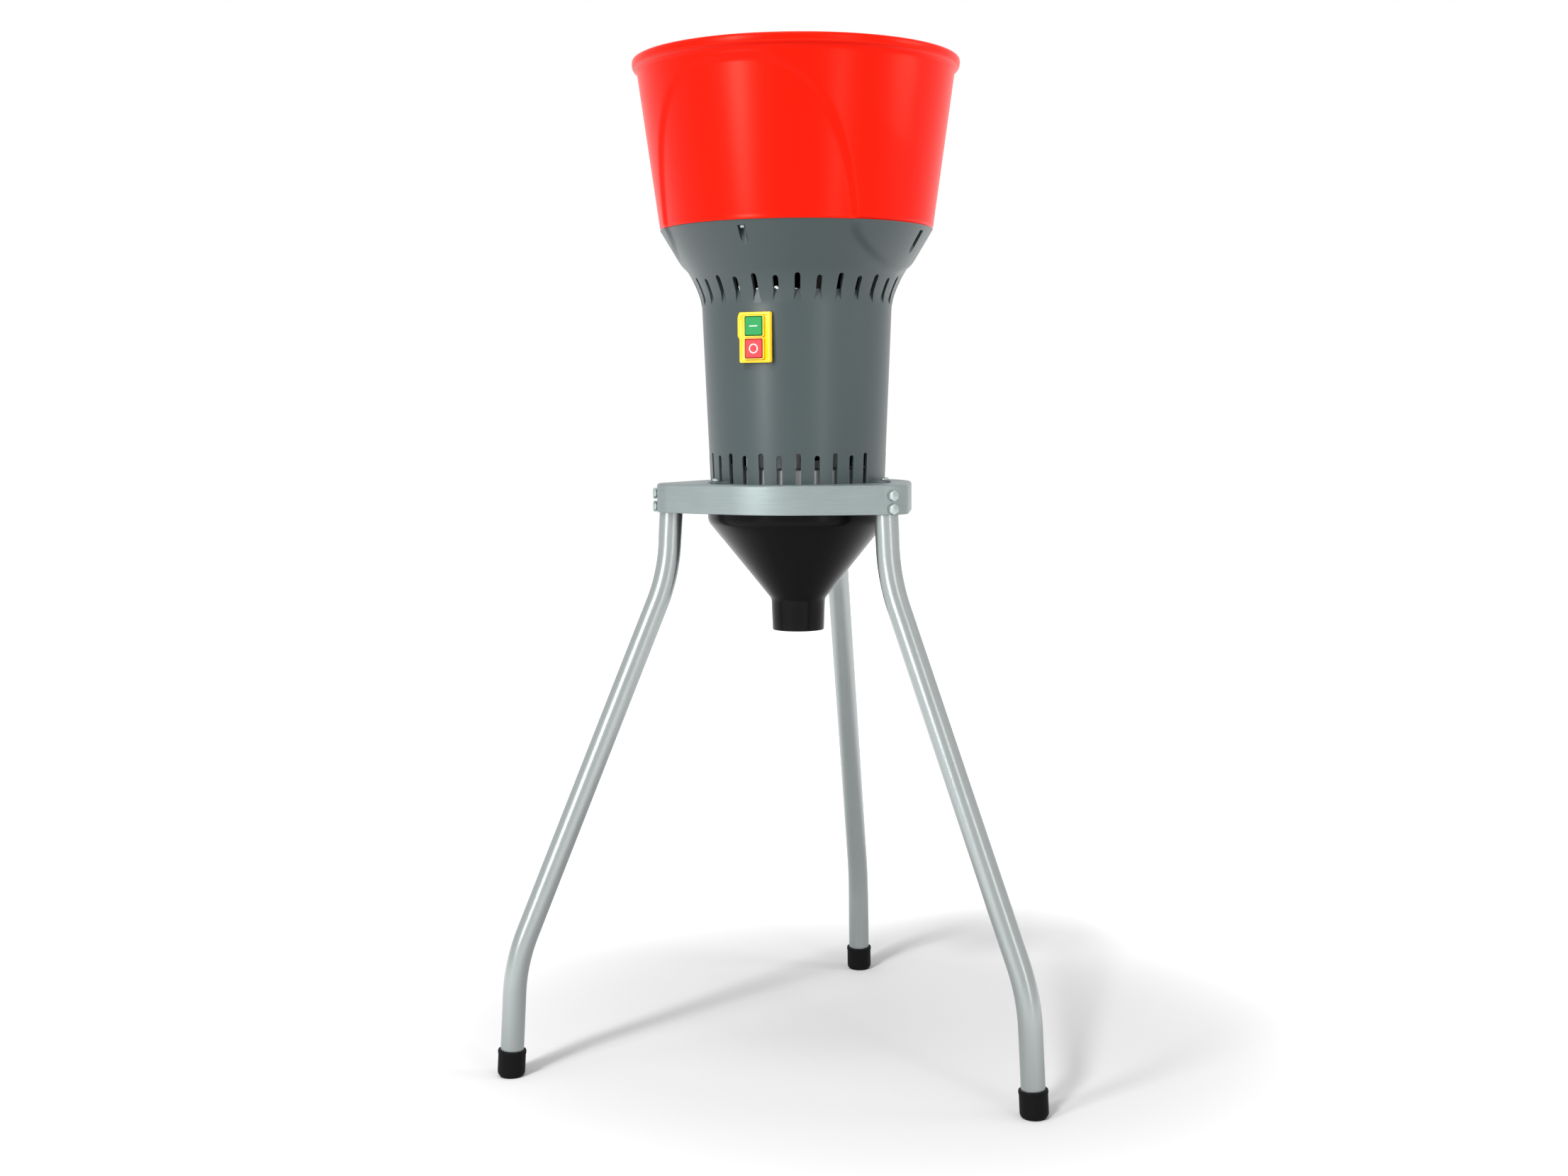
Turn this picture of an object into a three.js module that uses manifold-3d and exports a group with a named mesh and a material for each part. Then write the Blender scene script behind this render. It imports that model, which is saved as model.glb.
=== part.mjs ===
// Electric grain mill: an open hopper over a motor housing, standing on a tubular tripod,
// with a hammer chamber and an outlet funnel under the frame ring.
// Millimetres, +Z up, the switch faces -Y, and the feet stand on Z = 0.

import * as THREE from 'three';
import { mergeGeometries, mergeVertices } from 'three/addons/utils/BufferGeometryUtils.js';
import Module from 'manifold-3d';

const wasm = await Module();
wasm.setup();

// Clearances
const seat = 0.3; // between faces that rest on each other
const slip = 0.3; // round a shank in its hole
const overrun = 6; // how far a cutting tool runs past a face
const threadShow = 1.5; // thread that shows past a nut
const weldTolerance = 0.0005;

// Stand
const standHeight = 633; // floor to the top of the frame ring
const ringDepth = 31;
const ringSheet = 2;
const ringEdgeRadius = 3;
const ringBandRadius = 124; // rounded sides between the corners
const ringCornerRadius = 30;
const ringCornerReach = 125; // axis to the centre of a corner
const ringOpeningRadius = 98;
const legAzimuths = [-53, 67, 187]; // degrees from the switch side towards +X
const legTurn = 7; // degrees from the radius through its corner to the plane of a leg
const legBoltTurn = -20; // degrees from that radius to the bolts, about the corner's centre
const legTubeRadius = 12.5;
const legTubeWall = 1.5;
const legLean = THREE.MathUtils.degToRad(3.4); // of the straight top and bottom runs
const legUpperRun = 99.3; // ring top to the upper bend
const legLowerRun = 123.2; // floor to the lower bend
const legBendRadius = 190;
const footSpread = 186; // top of a leg to the middle of its foot

// Hopper and motor housing
const housingHeight = 272.2;
const housingBaseRadius = 94.7;
const housingNeckRadius = 103; // where the flare meets the cylinder
const housingNeckRun = 70.5; // neck to seam
const neckFilletRun = 9.5;
const seamRadius = 146.6; // over the raised side panels
const shellWall = 3;
const panelRelief = 1.4; // how far the side panels stand out
const hopperHeight = 178.5;
const hopperTopRadius = 170;
const rimRadius = 175.4;
const rimHeight = 11;
const throatOffset = 62; // mill axis to the feed tube
const throatRadius = 10.5;
const feedTubeRadius = 13.5;
const feedTubeWall = 1.5;

// Hammer chamber and outlet
const drumRadius = 88;
const drumSheet = 2;
const drumRise = 17.3; // flange to the top plate
const drumDrop = 29.7; // flange to the lower edge
const chamberFlangeGap = 14; // to the skirt of the ring
const chamberFlangeRadius = ringBandRadius - ringSheet - chamberFlangeGap;
const sieveRadius = 75.5;
const sieveSheet = 1.5;
const chamberFloorSheet = 3;
const beaterLength = 136;
const beaterWidth = 22;
const beaterThickness = 4;
const funnelCollarRadius = 98;
const funnelCollarRun = 37.9;
const funnelConeRun = 85.5;
const funnelSpoutRun = 34;
const funnelSpoutRadius = 29.5;
const funnelSpoutDraft = 1.2;
const funnelWall = 2.5;

// Motor
const statorRadius = 44;
const statorLength = 75;
const statorBore = 25.8;
const rotorRadius = 25;
const lowerShieldHeight = 51.4;
const upperShieldHeight = 50.7;
const shieldRadius = 46;
const shieldWall = 2.5;
const shaftRadius = 8.5;
const tieRodReach = 39.5;
const tieRodRadius = 2;

// Switch
const switchWidth = 38;
const switchHeight = 52.5;
const switchDrop = 46.9; // neck to the middle of the switch
const buttonSize = 20.2;
const buttonTravel = 3;
const buttonGap = 0.4;

// Levels, from the floor upwards
const ringTopZ = standHeight;
const ringBottomZ = ringTopZ - ringDepth;
const plateUnderZ = ringTopZ - ringSheet;
const drumFlangeZ = plateUnderZ - seat;
const drumTopZ = drumFlangeZ + drumRise;
const drumBottomZ = drumFlangeZ - drumDrop;
const drumPlateUnderZ = drumTopZ - drumSheet;
const funnelTopZ = drumFlangeZ - drumSheet - seat;
const housingBaseZ = plateUnderZ;
const seamZ = housingBaseZ + housingHeight;
const neckZ = seamZ - housingNeckRun;
const hopperBaseZ = seamZ + seat;
const rimZ = hopperBaseZ + hopperHeight;
const statorZ = drumTopZ + seat + lowerShieldHeight + seat;
const statorTopZ = statorZ + statorLength;
const upperShieldZ = statorTopZ + seat;
const upperShieldTopZ = upperShieldZ + upperShieldHeight;

// Materials
const finish = (color, roughness, metalness) =>
  new THREE.MeshStandardMaterial({ color, roughness, metalness });
const redPlastic = finish(0xff2a12, 0.42, 0);
const greyPlastic = finish(0x5a6466, 0.5, 0);
const blackPlastic = finish(0x121314, 0.38, 0);
const blackRubber = finish(0x161718, 0.75, 0);
const zincSteel = finish(0xaab4b2, 0.34, 0.85);
const brightSteel = finish(0xc2c8ca, 0.25, 0.95);
const darkSteel = finish(0x4b4e50, 0.45, 0.8);
const castAluminium = finish(0xa9adb0, 0.5, 0.8);
const copper = finish(0xb0662f, 0.35, 0.9);
const yellowPlastic = finish(0xffdc00, 0.4, 0);
const greenPlastic = finish(0x00b864, 0.4, 0);
const signalRedPlastic = finish(0xfa4b50, 0.4, 0);
const whitePlastic = finish(0xeceae4, 0.5, 0);

// Shapes
const fullTurn = 2 * Math.PI;
const degrees = THREE.MathUtils.degToRad;
const point = (x, y) => new THREE.Vector2(x, y);

// An azimuth is read from the switch side (-Y) towards +X.
const heading = (azimuth) => degrees(azimuth - 90);
const spread = (count, start = 0) =>
  Array.from({ length: count }, (_, i) => start + (360 * i) / count);

function weld(geometry) {
  const bare = geometry.clone();
  bare.deleteAttribute('normal');
  bare.deleteAttribute('uv');
  bare.clearGroups();
  const merged = mergeVertices(bare, weldTolerance);
  const kept = [];
  for (let i = 0; i < merged.index.count; i += 3) {
    const [a, b, c] = [0, 1, 2].map((k) => merged.index.getX(i + k));
    if (a !== b && b !== c && c !== a) kept.push(a, b, c);
  }
  merged.setIndex(kept);
  return outward(merged);
}

// Turns the faces round where the enclosed volume comes out negative.
function outward(geometry) {
  const place = geometry.attributes.position;
  const index = Array.from(geometry.index.array);
  const corners = [new THREE.Vector3(), new THREE.Vector3(), new THREE.Vector3()];
  let volume = 0;
  for (let i = 0; i < index.length; i += 3) {
    corners.forEach((corner, k) => corner.fromBufferAttribute(place, index[i + k]));
    volume += corners[0].dot(corners[1].clone().cross(corners[2]));
  }
  if (volume < 0) geometry.setIndex(index.reverse());
  return geometry;
}

function solid(geometry) {
  const welded = weld(geometry);
  return new wasm.Manifold(new wasm.Mesh({
    numProp: 3,
    vertProperties: new Float32Array(welded.attributes.position.array),
    triVerts: new Uint32Array(welded.index.array),
  }));
}

function geometryOf(manifold) {
  const mesh = manifold.getMesh();
  const geometry = new THREE.BufferGeometry();
  geometry.setAttribute('position', new THREE.BufferAttribute(mesh.vertProperties, 3));
  geometry.setIndex(Array.from(mesh.triVerts));
  return geometry;
}

const cut = (body, tools) => tools.reduce((rest, tool) => rest.subtract(solid(tool)), body);
const join = (body, pieces) => pieces.reduce((sum, piece) => sum.add(solid(piece)), body);

// A profile of [radius, height] pairs turned about Z. A ring's profile ends where it starts.
function turned(profile, sides) {
  const points = profile.map(([radius, height]) => point(radius, height));
  return new THREE.LatheGeometry(points, sides).rotateX(Math.PI / 2);
}

function ring(inner, outer, bottom, top, sides) {
  return turned([[inner, bottom], [outer, bottom], [outer, top], [inner, top], [inner, bottom]], sides);
}

function rod(radius, bottom, top, sides) {
  const height = top - bottom;
  const bar = new THREE.CylinderGeometry(radius, radius, height, sides);
  return bar.rotateX(Math.PI / 2).translate(0, 0, bottom + height / 2);
}

function block(width, depth, bottom, top) {
  return new THREE.BoxGeometry(width, depth, top - bottom).translate(0, 0, (bottom + top) / 2);
}

const loop = (radius, count, x = 0, y = 0) => spread(count).map((angle) =>
  point(x + radius * Math.cos(degrees(angle)), y + radius * Math.sin(degrees(angle))));

// A flat outline given a thickness from one level to another.
function plate(outline, bottom, top, holes = []) {
  const shape = new THREE.Shape(outline);
  shape.holes = holes.map((hole) => new THREE.Path(hole));
  const depth = top - bottom;
  return new THREE.ExtrudeGeometry(shape, { depth, bevelEnabled: false }).translate(0, 0, bottom);
}

// Stands a plate up, so that its outline lies in XZ and its thickness runs along Y.
const upright = (geometry) => geometry.rotateX(Math.PI / 2);

// Lays a part that was turned about Z along +X, pointing outwards.
const radial = (geometry) => geometry.rotateY(Math.PI / 2);

// Stands a plate up, so that its outline faces +X and its thickness runs along X.
const outwards = (geometry) => geometry.rotateX(Math.PI / 2).rotateZ(Math.PI / 2);

// Turns a copy to an azimuth. The copy starts out pointing along +X.
const at = (azimuth, geometry) => geometry.clone().rotateZ(heading(azimuth));

// Copies at a list of azimuths, as one group of separate solids.
function around(azimuths, geometry) {
  return mergeGeometries(azimuths.map((azimuth) => at(azimuth, weld(geometry))));
}

const hexagon = (acrossFlats, bottom, top) => rod(acrossFlats / Math.sqrt(3), bottom, top, 6);

// A closed outline of lobes, set round a band, and joined to it by straight tangents.
function lobedOutline(bandRadius, lobeRadius, lobeReach, azimuths, lobeSteps, bandSteps) {
  const turn = Math.acos((bandRadius - lobeRadius) / lobeReach);
  const points = [];
  const pitch = fullTurn / azimuths.length;
  for (const azimuth of azimuths) {
    const middle = heading(azimuth);
    const x = lobeReach * Math.cos(middle);
    const y = lobeReach * Math.sin(middle);
    for (let i = 0; i <= lobeSteps; i += 1) {
      const angle = middle - turn + (2 * turn * i) / lobeSteps;
      points.push(point(x + lobeRadius * Math.cos(angle), y + lobeRadius * Math.sin(angle)));
    }
    for (let i = 0; i <= bandSteps; i += 1) {
      const angle = middle + turn + ((pitch - 2 * turn) * i) / bandSteps;
      points.push(point(bandRadius * Math.cos(angle), bandRadius * Math.sin(angle)));
    }
  }
  return points;
}

// Skins a closed chain of outlines that all have the same number of points.
function skinned(rows) {
  const count = rows[0].length;
  const positions = rows.flat().flatMap((place) => [place.x, place.y, place.z]);
  const index = [];
  rows.forEach((_, j) => {
    const here = j * count;
    const there = ((j + 1) % rows.length) * count;
    for (let i = 0; i < count; i += 1) {
      const next = (i + 1) % count;
      index.push(here + i, here + next, there + next, here + i, there + next, there + i);
    }
  });
  const geometry = new THREE.BufferGeometry();
  geometry.setAttribute('position', new THREE.Float32BufferAttribute(positions, 3));
  geometry.setIndex(index);
  return geometry;
}

// Assembly
const mill = new THREE.Group();

function add(name, shape, material) {
  const geometry = shape.getMesh ? geometryOf(shape) : weld(shape);
  const mesh = new THREE.Mesh(geometry, material);
  mesh.name = name;
  mill.add(mesh);
}

// One node for each copy of a piece, numbered in the order of the azimuths.
function addAround(name, azimuths, shape, material) {
  const geometry = shape.getMesh ? geometryOf(shape) : weld(shape);
  azimuths.forEach((azimuth, i) => add(`${name}_${i + 1}`, at(azimuth, geometry), material));
}

// Side panels. They stand out from the hopper and run on down the flare of the housing in a
// rounded tongue, and leave an arch on the front and on the back of the hopper.
const archHalfWidth = 107.5;
const archRise = 154.5;
const archSquareness = 2.75;
const tongueHalfWidth = 97.7;
const tongueDrop = 45.5;
const tongueSquareness = 1.75;
const panelSteps = 14;

// A superellipse arch from one end of its base to the other. A negative rise hangs it down.
function archOutline(halfWidth, rise, squareness) {
  const points = [];
  for (let i = 0; i <= panelSteps; i += 1) {
    const angle = (Math.PI * i) / panelSteps;
    const across = Math.abs(Math.cos(angle)) ** (2 / squareness) * Math.sign(Math.cos(angle));
    const up = Math.abs(Math.sin(angle)) ** (2 / squareness);
    points.push(point(halfWidth * across, rise * up));
  }
  const foot = -Math.sign(rise) * overrun;
  points.push(point(-halfWidth, foot), point(halfWidth, foot));
  return points;
}

// Hopper: one moulding with a rolled rim, a floor that slopes to an off-centre throat, and
// four bosses that take the screws from the housing.
const hopperSides = 48;
const throatSides = 12;
const hopperFloorRise = 22; // seam to where the floor leaves the wall
const hopperFloorDrop = 45.5; // wall foot to throat
const throatSpigotRun = 14;
const rimEdge = 4;
const fixingInset = 10.6; // side panels to the middle of a fixing screw
const fixingReach = seamRadius - fixingInset;
const hopperBossRadius = 5;
const pilotRadius = 2.05;
const pilotDepth = 10;
const hopperFloorZ = hopperBaseZ + hopperFloorRise;
const throatZ = hopperFloorZ - hopperFloorDrop;
const hopperSlope = (hopperTopRadius - seamRadius) / (hopperHeight - rimHeight);
const hopperRadiusAt = (z) => seamRadius + (z - hopperBaseZ) * hopperSlope;

function hopperBody(relief) {
  const rimFootZ = rimZ - rimHeight;
  return solid(turned([
    [0, hopperBaseZ],
    [seamRadius - relief, hopperBaseZ],
    [hopperRadiusAt(rimFootZ) - relief, rimFootZ],
    [rimRadius - rimEdge / 2, rimFootZ],
    [rimRadius, rimFootZ + rimEdge / 2],
    [rimRadius, rimZ - rimEdge],
    [rimRadius - rimEdge / 3, rimZ - rimEdge / 3],
    [rimRadius - rimEdge, rimZ],
    [0, rimZ],
  ], hopperSides));
}

// A cone whose foot stands off the axis, over the throat.
function slopingCone(topRadius, footRadius, footZ, topZ) {
  const height = topZ - footZ;
  const cone = new THREE.CylinderGeometry(topRadius, footRadius, height, hopperSides);
  cone.rotateX(Math.PI / 2).translate(0, 0, height / 2);
  const shear = new THREE.Matrix4().set(
    1, 0, 0, 0,
    0, 1, -throatOffset / height, throatOffset,
    0, 0, 1, footZ,
    0, 0, 0, 1,
  );
  return cone.applyMatrix4(shear);
}

function makeHopper() {
  const floorRadius = hopperRadiusAt(hopperFloorZ) - panelRelief - shellWall;
  const footRadius = seamRadius - panelRelief - shellWall;
  const lipRadius = hopperRadiusAt(rimZ) - panelRelief - shellWall;
  const spigotRadius = feedTubeRadius - feedTubeWall - slip;
  const spigotEndZ = throatZ - throatSpigotRun;
  const arch = upright(plate(archOutline(archHalfWidth, archRise, archSquareness),
    -rimRadius, rimRadius)).translate(0, 0, hopperBaseZ);
  const floorUnderside = slopingCone(floorRadius + shellWall, spigotRadius,
    throatZ - shellWall, hopperFloorZ);
  const hollowUnderneath = rod(footRadius, hopperBaseZ - overrun, hopperFloorZ, hopperSides);
  const spigot = rod(spigotRadius, spigotEndZ, throatZ + shellWall, throatSides);
  const boss = rod(hopperBossRadius, hopperBaseZ, hopperFloorZ - shellWall, 10);
  const bosses = around(spread(4), boss.translate(fixingReach, 0, 0));
  const inside = turned([
    [0, hopperFloorZ],
    [floorRadius, hopperFloorZ],
    [lipRadius, rimZ],
    [lipRadius + overrun * hopperSlope, rimZ + overrun],
    [0, rimZ + overrun],
  ], hopperSides);
  const funnelled = slopingCone(floorRadius, throatRadius, throatZ, hopperFloorZ + seat);
  const throat = rod(throatRadius, spigotEndZ - overrun, throatZ + shellWall, throatSides);
  const pilot = rod(pilotRadius, hopperBaseZ - overrun, hopperBaseZ + pilotDepth, 8);
  const outer = cut(hopperBody(0), [arch]).add(hopperBody(panelRelief));
  const fitted = join(cut(outer, [hollowUnderneath]), [
    floorUnderside,
    spigot.translate(0, throatOffset, 0),
    bosses,
  ]);
  return cut(fitted, [
    inside,
    funnelled,
    throat.translate(0, throatOffset, 0),
    around(spread(4), pilot.translate(fixingReach, 0, 0)),
  ]);
}

add('hopper', makeHopper(), redPlastic);

// Screws that hold the hopper down. Each head sits at the top of its pocket in the flare.
const pocketRadius = 4.4;
const pocketDrop = 5.5; // seam to the ledge under which the head sits
const pocketRun = 36;
const hopperScrewRadius = 1.75;
const hopperScrewHeadRadius = 3.6;
const hopperScrewHeadHeight = 2.4;
const ledgeZ = seamZ - pocketDrop;

function panScrew(headRadius, headHeight, shankRadius, headUnderZ, tipZ, sides) {
  const side = Math.sign(headUnderZ - tipZ); // +1 when the head is on top
  const crownZ = headUnderZ + side * headHeight;
  return turned([
    [0, tipZ],
    [shankRadius, tipZ],
    [shankRadius, headUnderZ],
    [headRadius, headUnderZ],
    [headRadius, headUnderZ + side * headHeight / 2],
    [headRadius / 2, crownZ],
    [0, crownZ],
  ], sides);
}

const hopperScrew = panScrew(hopperScrewHeadRadius, hopperScrewHeadHeight, hopperScrewRadius,
  ledgeZ - seat, hopperBaseZ + pilotDepth - seat, 6);
addAround('hopper_screw', spread(4), hopperScrew.translate(fixingReach, 0, 0), brightSteel);

// Motor housing: a slightly tapered cylinder that flares out to the seam. It has a ring of
// vents drawn down through the flare, two fields of slots at its foot, four screw pockets,
// a window for the switch, a hole for the cable gland, and three ears that fix it to the frame.
const housingSides = 60; // a multiple of the vents, which lie in the middle of a facet
const housingWall = 2.6;
const filletSteps = 2;
const upperVentCount = 30;
const upperVentWidth = 6;
const upperVentRises = [18.7, 16.2]; // neck to the top of the tall and of the short vents
const upperVentInset = 0.2; // how far the vents bite into the neck
const lowerVentPitch = 12;
const lowerVentsEachWay = 6;
const lowerVentWidth = 5.8;
const lowerVentRises = [34.4, 32]; // base to the top of the tall and of the short slots
const ventSteps = 3;
const pocketWall = 2.4;
const earReach = 104;
const earRadius = 6.5;
const earThickness = 2.2;
const earTurn = 20; // degrees from a corner of the ring to the ear beside it
const earAzimuths = legAzimuths.map((azimuth) => azimuth + earTurn);
const frameScrewRadius = 2.5;
const earTopZ = ringTopZ + seat + earThickness;
const switchZ = neckZ - switchDrop;
const switchBodyWidth = 31;
const switchBodyHeight = 46;
const glandAzimuth = 150;
const glandRise = 69;
const glandThreadRadius = 6;
const glandZ = housingBaseZ + glandRise;
const housingRadiusAt = (z) => housingBaseRadius
  + ((housingNeckRadius - housingBaseRadius) * (z - housingBaseZ)) / (neckZ - housingBaseZ);

function housingProfile(offset) {
  const foot = point(housingBaseRadius + offset, housingBaseZ);
  const neck = point(housingNeckRadius + offset, neckZ);
  const top = point(seamRadius - panelRelief + offset, seamZ);
  const below = neck.clone().lerp(foot, neckFilletRun / neck.distanceTo(foot));
  const above = neck.clone().lerp(top, neckFilletRun / neck.distanceTo(top));
  const fillet = new THREE.QuadraticBezierCurve(below, neck, above).getPoints(filletSteps);
  return [foot, ...fillet, top].map(({ x, y }) => [x, y]);
}

function housingBody(offset, past = 0) {
  const profile = housingProfile(offset);
  const [footRadius] = profile[0];
  const [topRadius] = profile[profile.length - 1];
  const ends = past === 0 ? profile
    : [[footRadius, housingBaseZ - past], ...profile, [topRadius, seamZ + past]];
  const halfFacet = Math.PI / housingSides;
  return solid(turned([[0, housingBaseZ - past], ...ends, [0, seamZ + past]], housingSides)
    .rotateZ(halfFacet));
}

// An upright slot with a rounded top, run along +X between two reaches.
function slot(width, bottom, top, from, to) {
  const radius = width / 2;
  const points = [point(-radius, bottom), point(radius, bottom)];
  for (let i = 0; i <= ventSteps; i += 1) {
    const angle = (Math.PI * i) / ventSteps;
    points.push(point(radius * Math.cos(angle), top - radius + radius * Math.sin(angle)));
  }
  return outwards(plate(points, from, to));
}

function upperVents() {
  const reach = housingNeckRadius - upperVentInset;
  return spread(upperVentCount).map((azimuth, i) => at(azimuth, slot(
    upperVentWidth,
    neckZ - 2 * neckFilletRun,
    neckZ + upperVentRises[i % 2],
    reach,
    seamRadius,
  )));
}

function lowerVents() {
  const vents = [];
  for (const middle of [0, 180]) {
    for (let i = -lowerVentsEachWay; i <= lowerVentsEachWay; i += 1) {
      const top = housingBaseZ + lowerVentRises[Math.abs(i) % 2];
      const vent = slot(lowerVentWidth, housingBaseZ - overrun, top,
        housingBaseRadius - 2 * overrun, housingNeckRadius);
      vents.push(at(middle + i * lowerVentPitch, vent));
    }
  }
  return vents;
}

function makeHousing() {
  const tongue = outwards(plate(archOutline(tongueHalfWidth, -tongueDrop, tongueSquareness),
    -rimRadius, rimRadius)).translate(0, 0, seamZ);
  const panels = housingBody(panelRelief).intersect(solid(tongue));
  const pocketBoss = rod(pocketRadius + pocketWall, seamZ - pocketRun, seamZ, 12);
  const pocket = rod(pocketRadius, seamZ - pocketRun - overrun, ledgeZ, 12);
  const screwHole = rod(hopperScrewRadius + slip, ledgeZ - overrun, seamZ + overrun, 8);
  const bosses = solid(around(spread(4), pocketBoss.translate(fixingReach, 0, 0)));
  const hollow = housingBody(-housingWall, overrun);
  const window = block(switchBodyWidth + 2 * slip, housingNeckRadius,
    switchZ - switchBodyHeight / 2 - slip, switchZ + switchBodyHeight / 2 + slip);
  const glandHole = radial(rod(glandThreadRadius + slip, 0, housingNeckRadius, 12));
  const shell = housingBody(0).add(panels).subtract(hollow.subtract(bosses));
  const ear = join(solid(rod(earRadius, ringTopZ + seat, earTopZ, 12).translate(earReach, 0, 0)), [
    block(earReach - housingBaseRadius + overrun, 2 * earRadius, ringTopZ + seat, earTopZ)
      .translate((earReach + housingBaseRadius - overrun) / 2, 0, 0),
  ]);
  const ears = solid(around(earAzimuths, geometryOf(ear))).subtract(hollow);
  const earHole = rod(frameScrewRadius + slip, ringTopZ - overrun, earTopZ + overrun, 8);
  const opened = cut(shell, [
    around(spread(4), pocket.translate(fixingReach, 0, 0)),
    around(spread(4), screwHole.translate(fixingReach, 0, 0)),
    mergeGeometries(upperVents().map(weld)),
    mergeGeometries(lowerVents().map(weld)),
    window.translate(0, -housingNeckRadius, 0),
    at(glandAzimuth, glandHole).translate(0, 0, glandZ),
  ]);
  return cut(opened.add(ears), [around(earAzimuths, earHole.translate(earReach, 0, 0))]);
}

add('motor_housing', makeHousing(), greyPlastic);

// Start and stop switch: a yellow plate in front of a body that reaches into the housing, with
// two square buttons that travel inwards in wells.
const switchPlateThickness = 4.5;
const switchPlateReach = housingRadiusAt(switchZ + switchHeight / 2) + seat;
const switchBodyDepth = 27;
const switchCornerRadius = 2.5;
const switchBulge = 2;
const buttonSpacing = 23.2;
const buttonProud = 3;
const buttonDepth = 9.8;
const buttonSpringRoom = 3; // behind a pressed button
const plateFront = -(switchPlateReach + switchPlateThickness);

function switchOutline() {
  const x = switchWidth / 2;
  const y = switchHeight / 2;
  const corner = switchCornerRadius;
  return [
    point(-x + corner, -y), point(x - corner, -y), point(x, -y + corner),
    point(x, y - corner), point(x - corner, y), point(-x + corner / 2, y),
    point(-x - switchBulge, y - 2 * corner), point(-x - switchBulge, corner / 2),
    point(-x, -corner / 2), point(-x, -y + corner),
  ];
}

const buttonWells = (size, front, back) => [-1, 1].map((side) =>
  upright(plate(loop(size / Math.SQRT2, 4).map((corner) => corner.rotateAround(point(0, 0), Math.PI / 4)
    .add(point(0, side * buttonSpacing / 2))), front, back)).translate(0, 0, switchZ));

const switchPlate = upright(plate(switchOutline(), switchPlateReach, -plateFront));
add('switch_plate', cut(solid(switchPlate.translate(0, 0, switchZ)),
  buttonWells(buttonSize + 2 * buttonGap, switchPlateReach - overrun, -plateFront + overrun)),
yellowPlastic);

const switchBodyFront = switchPlateReach - seat;
const buttonRear = -plateFront + buttonProud - buttonDepth;
const wellFloor = buttonRear - buttonTravel - buttonSpringRoom;
const switchBody = block(switchBodyWidth, switchBodyDepth,
  switchZ - switchBodyHeight / 2, switchZ + switchBodyHeight / 2);
switchBody.translate(0, switchBodyDepth / 2 - switchBodyFront, 0);
add('switch_body', cut(solid(switchBody), buttonWells(buttonSize + 2 * buttonGap,
  wellFloor, switchBodyFront + overrun)), blackPlastic);

const [stopButton, startButton] = buttonWells(buttonSize, buttonRear, buttonRear + buttonDepth);
add('start_button', startButton, greenPlastic);
add('stop_button', stopButton, signalRedPlastic);

// Cable gland on the back, with its locknut tightened on the thread inside the housing.
const glandFlats = 18;
const glandNutThickness = 4;
const glandHexThickness = 5;
const glandDomeRun = 11;
const glandBarrelShare = 0.6; // of the dome, before it narrows
const glandBoreRadius = 3.5;
const glandDomeRadius = 8.2;
const glandSeatReach = housingRadiusAt(glandZ + glandFlats / 2) + 2 * seat;
const glandNutReach = housingRadiusAt(glandZ - glandFlats) - housingWall - 3 * seat;
const glandInnerReach = glandNutReach - glandNutThickness - 3 * seat;
const glandHexEnd = glandSeatReach + glandHexThickness;
const glandBarrel = turned([
  [glandBoreRadius, glandInnerReach],
  [glandThreadRadius, glandInnerReach],
  [glandThreadRadius, glandHexEnd],
  [glandDomeRadius, glandHexEnd],
  [glandDomeRadius, glandHexEnd + glandDomeRun * glandBarrelShare],
  [glandBoreRadius + seat, glandHexEnd + glandDomeRun],
  [glandBoreRadius, glandHexEnd + glandDomeRun],
  [glandBoreRadius, glandInnerReach],
], 12);
const glandHex = cut(solid(hexagon(glandFlats, glandSeatReach, glandHexEnd)),
  [rod(glandThreadRadius - seat, glandSeatReach - overrun, glandHexEnd + overrun, 12)]);
const glandNut = cut(solid(hexagon(glandFlats, glandNutReach - glandNutThickness, glandNutReach)),
  [rod(glandThreadRadius - seat, glandInnerReach - overrun, glandSeatReach, 12)]);
const gland = geometryOf(solid(glandBarrel).add(glandHex).add(glandNut));
add('cable_gland', at(glandAzimuth, radial(gland)).translate(0, 0, glandZ), blackPlastic);

// Frame ring: one pressed sheet, a flat plate with a skirt, whose three rounded corners cap the
// legs. The housing passes through its opening.
const cornerSteps = 5;
const bandSteps = 2;
const boltRadius = 3;
const boltDrops = [11, 25]; // ring top to each bolt of a leg
const ringOutline = (inset) => lobedOutline(ringBandRadius - inset, ringCornerRadius - inset,
  ringCornerReach, legAzimuths, cornerSteps, bandSteps);

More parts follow.
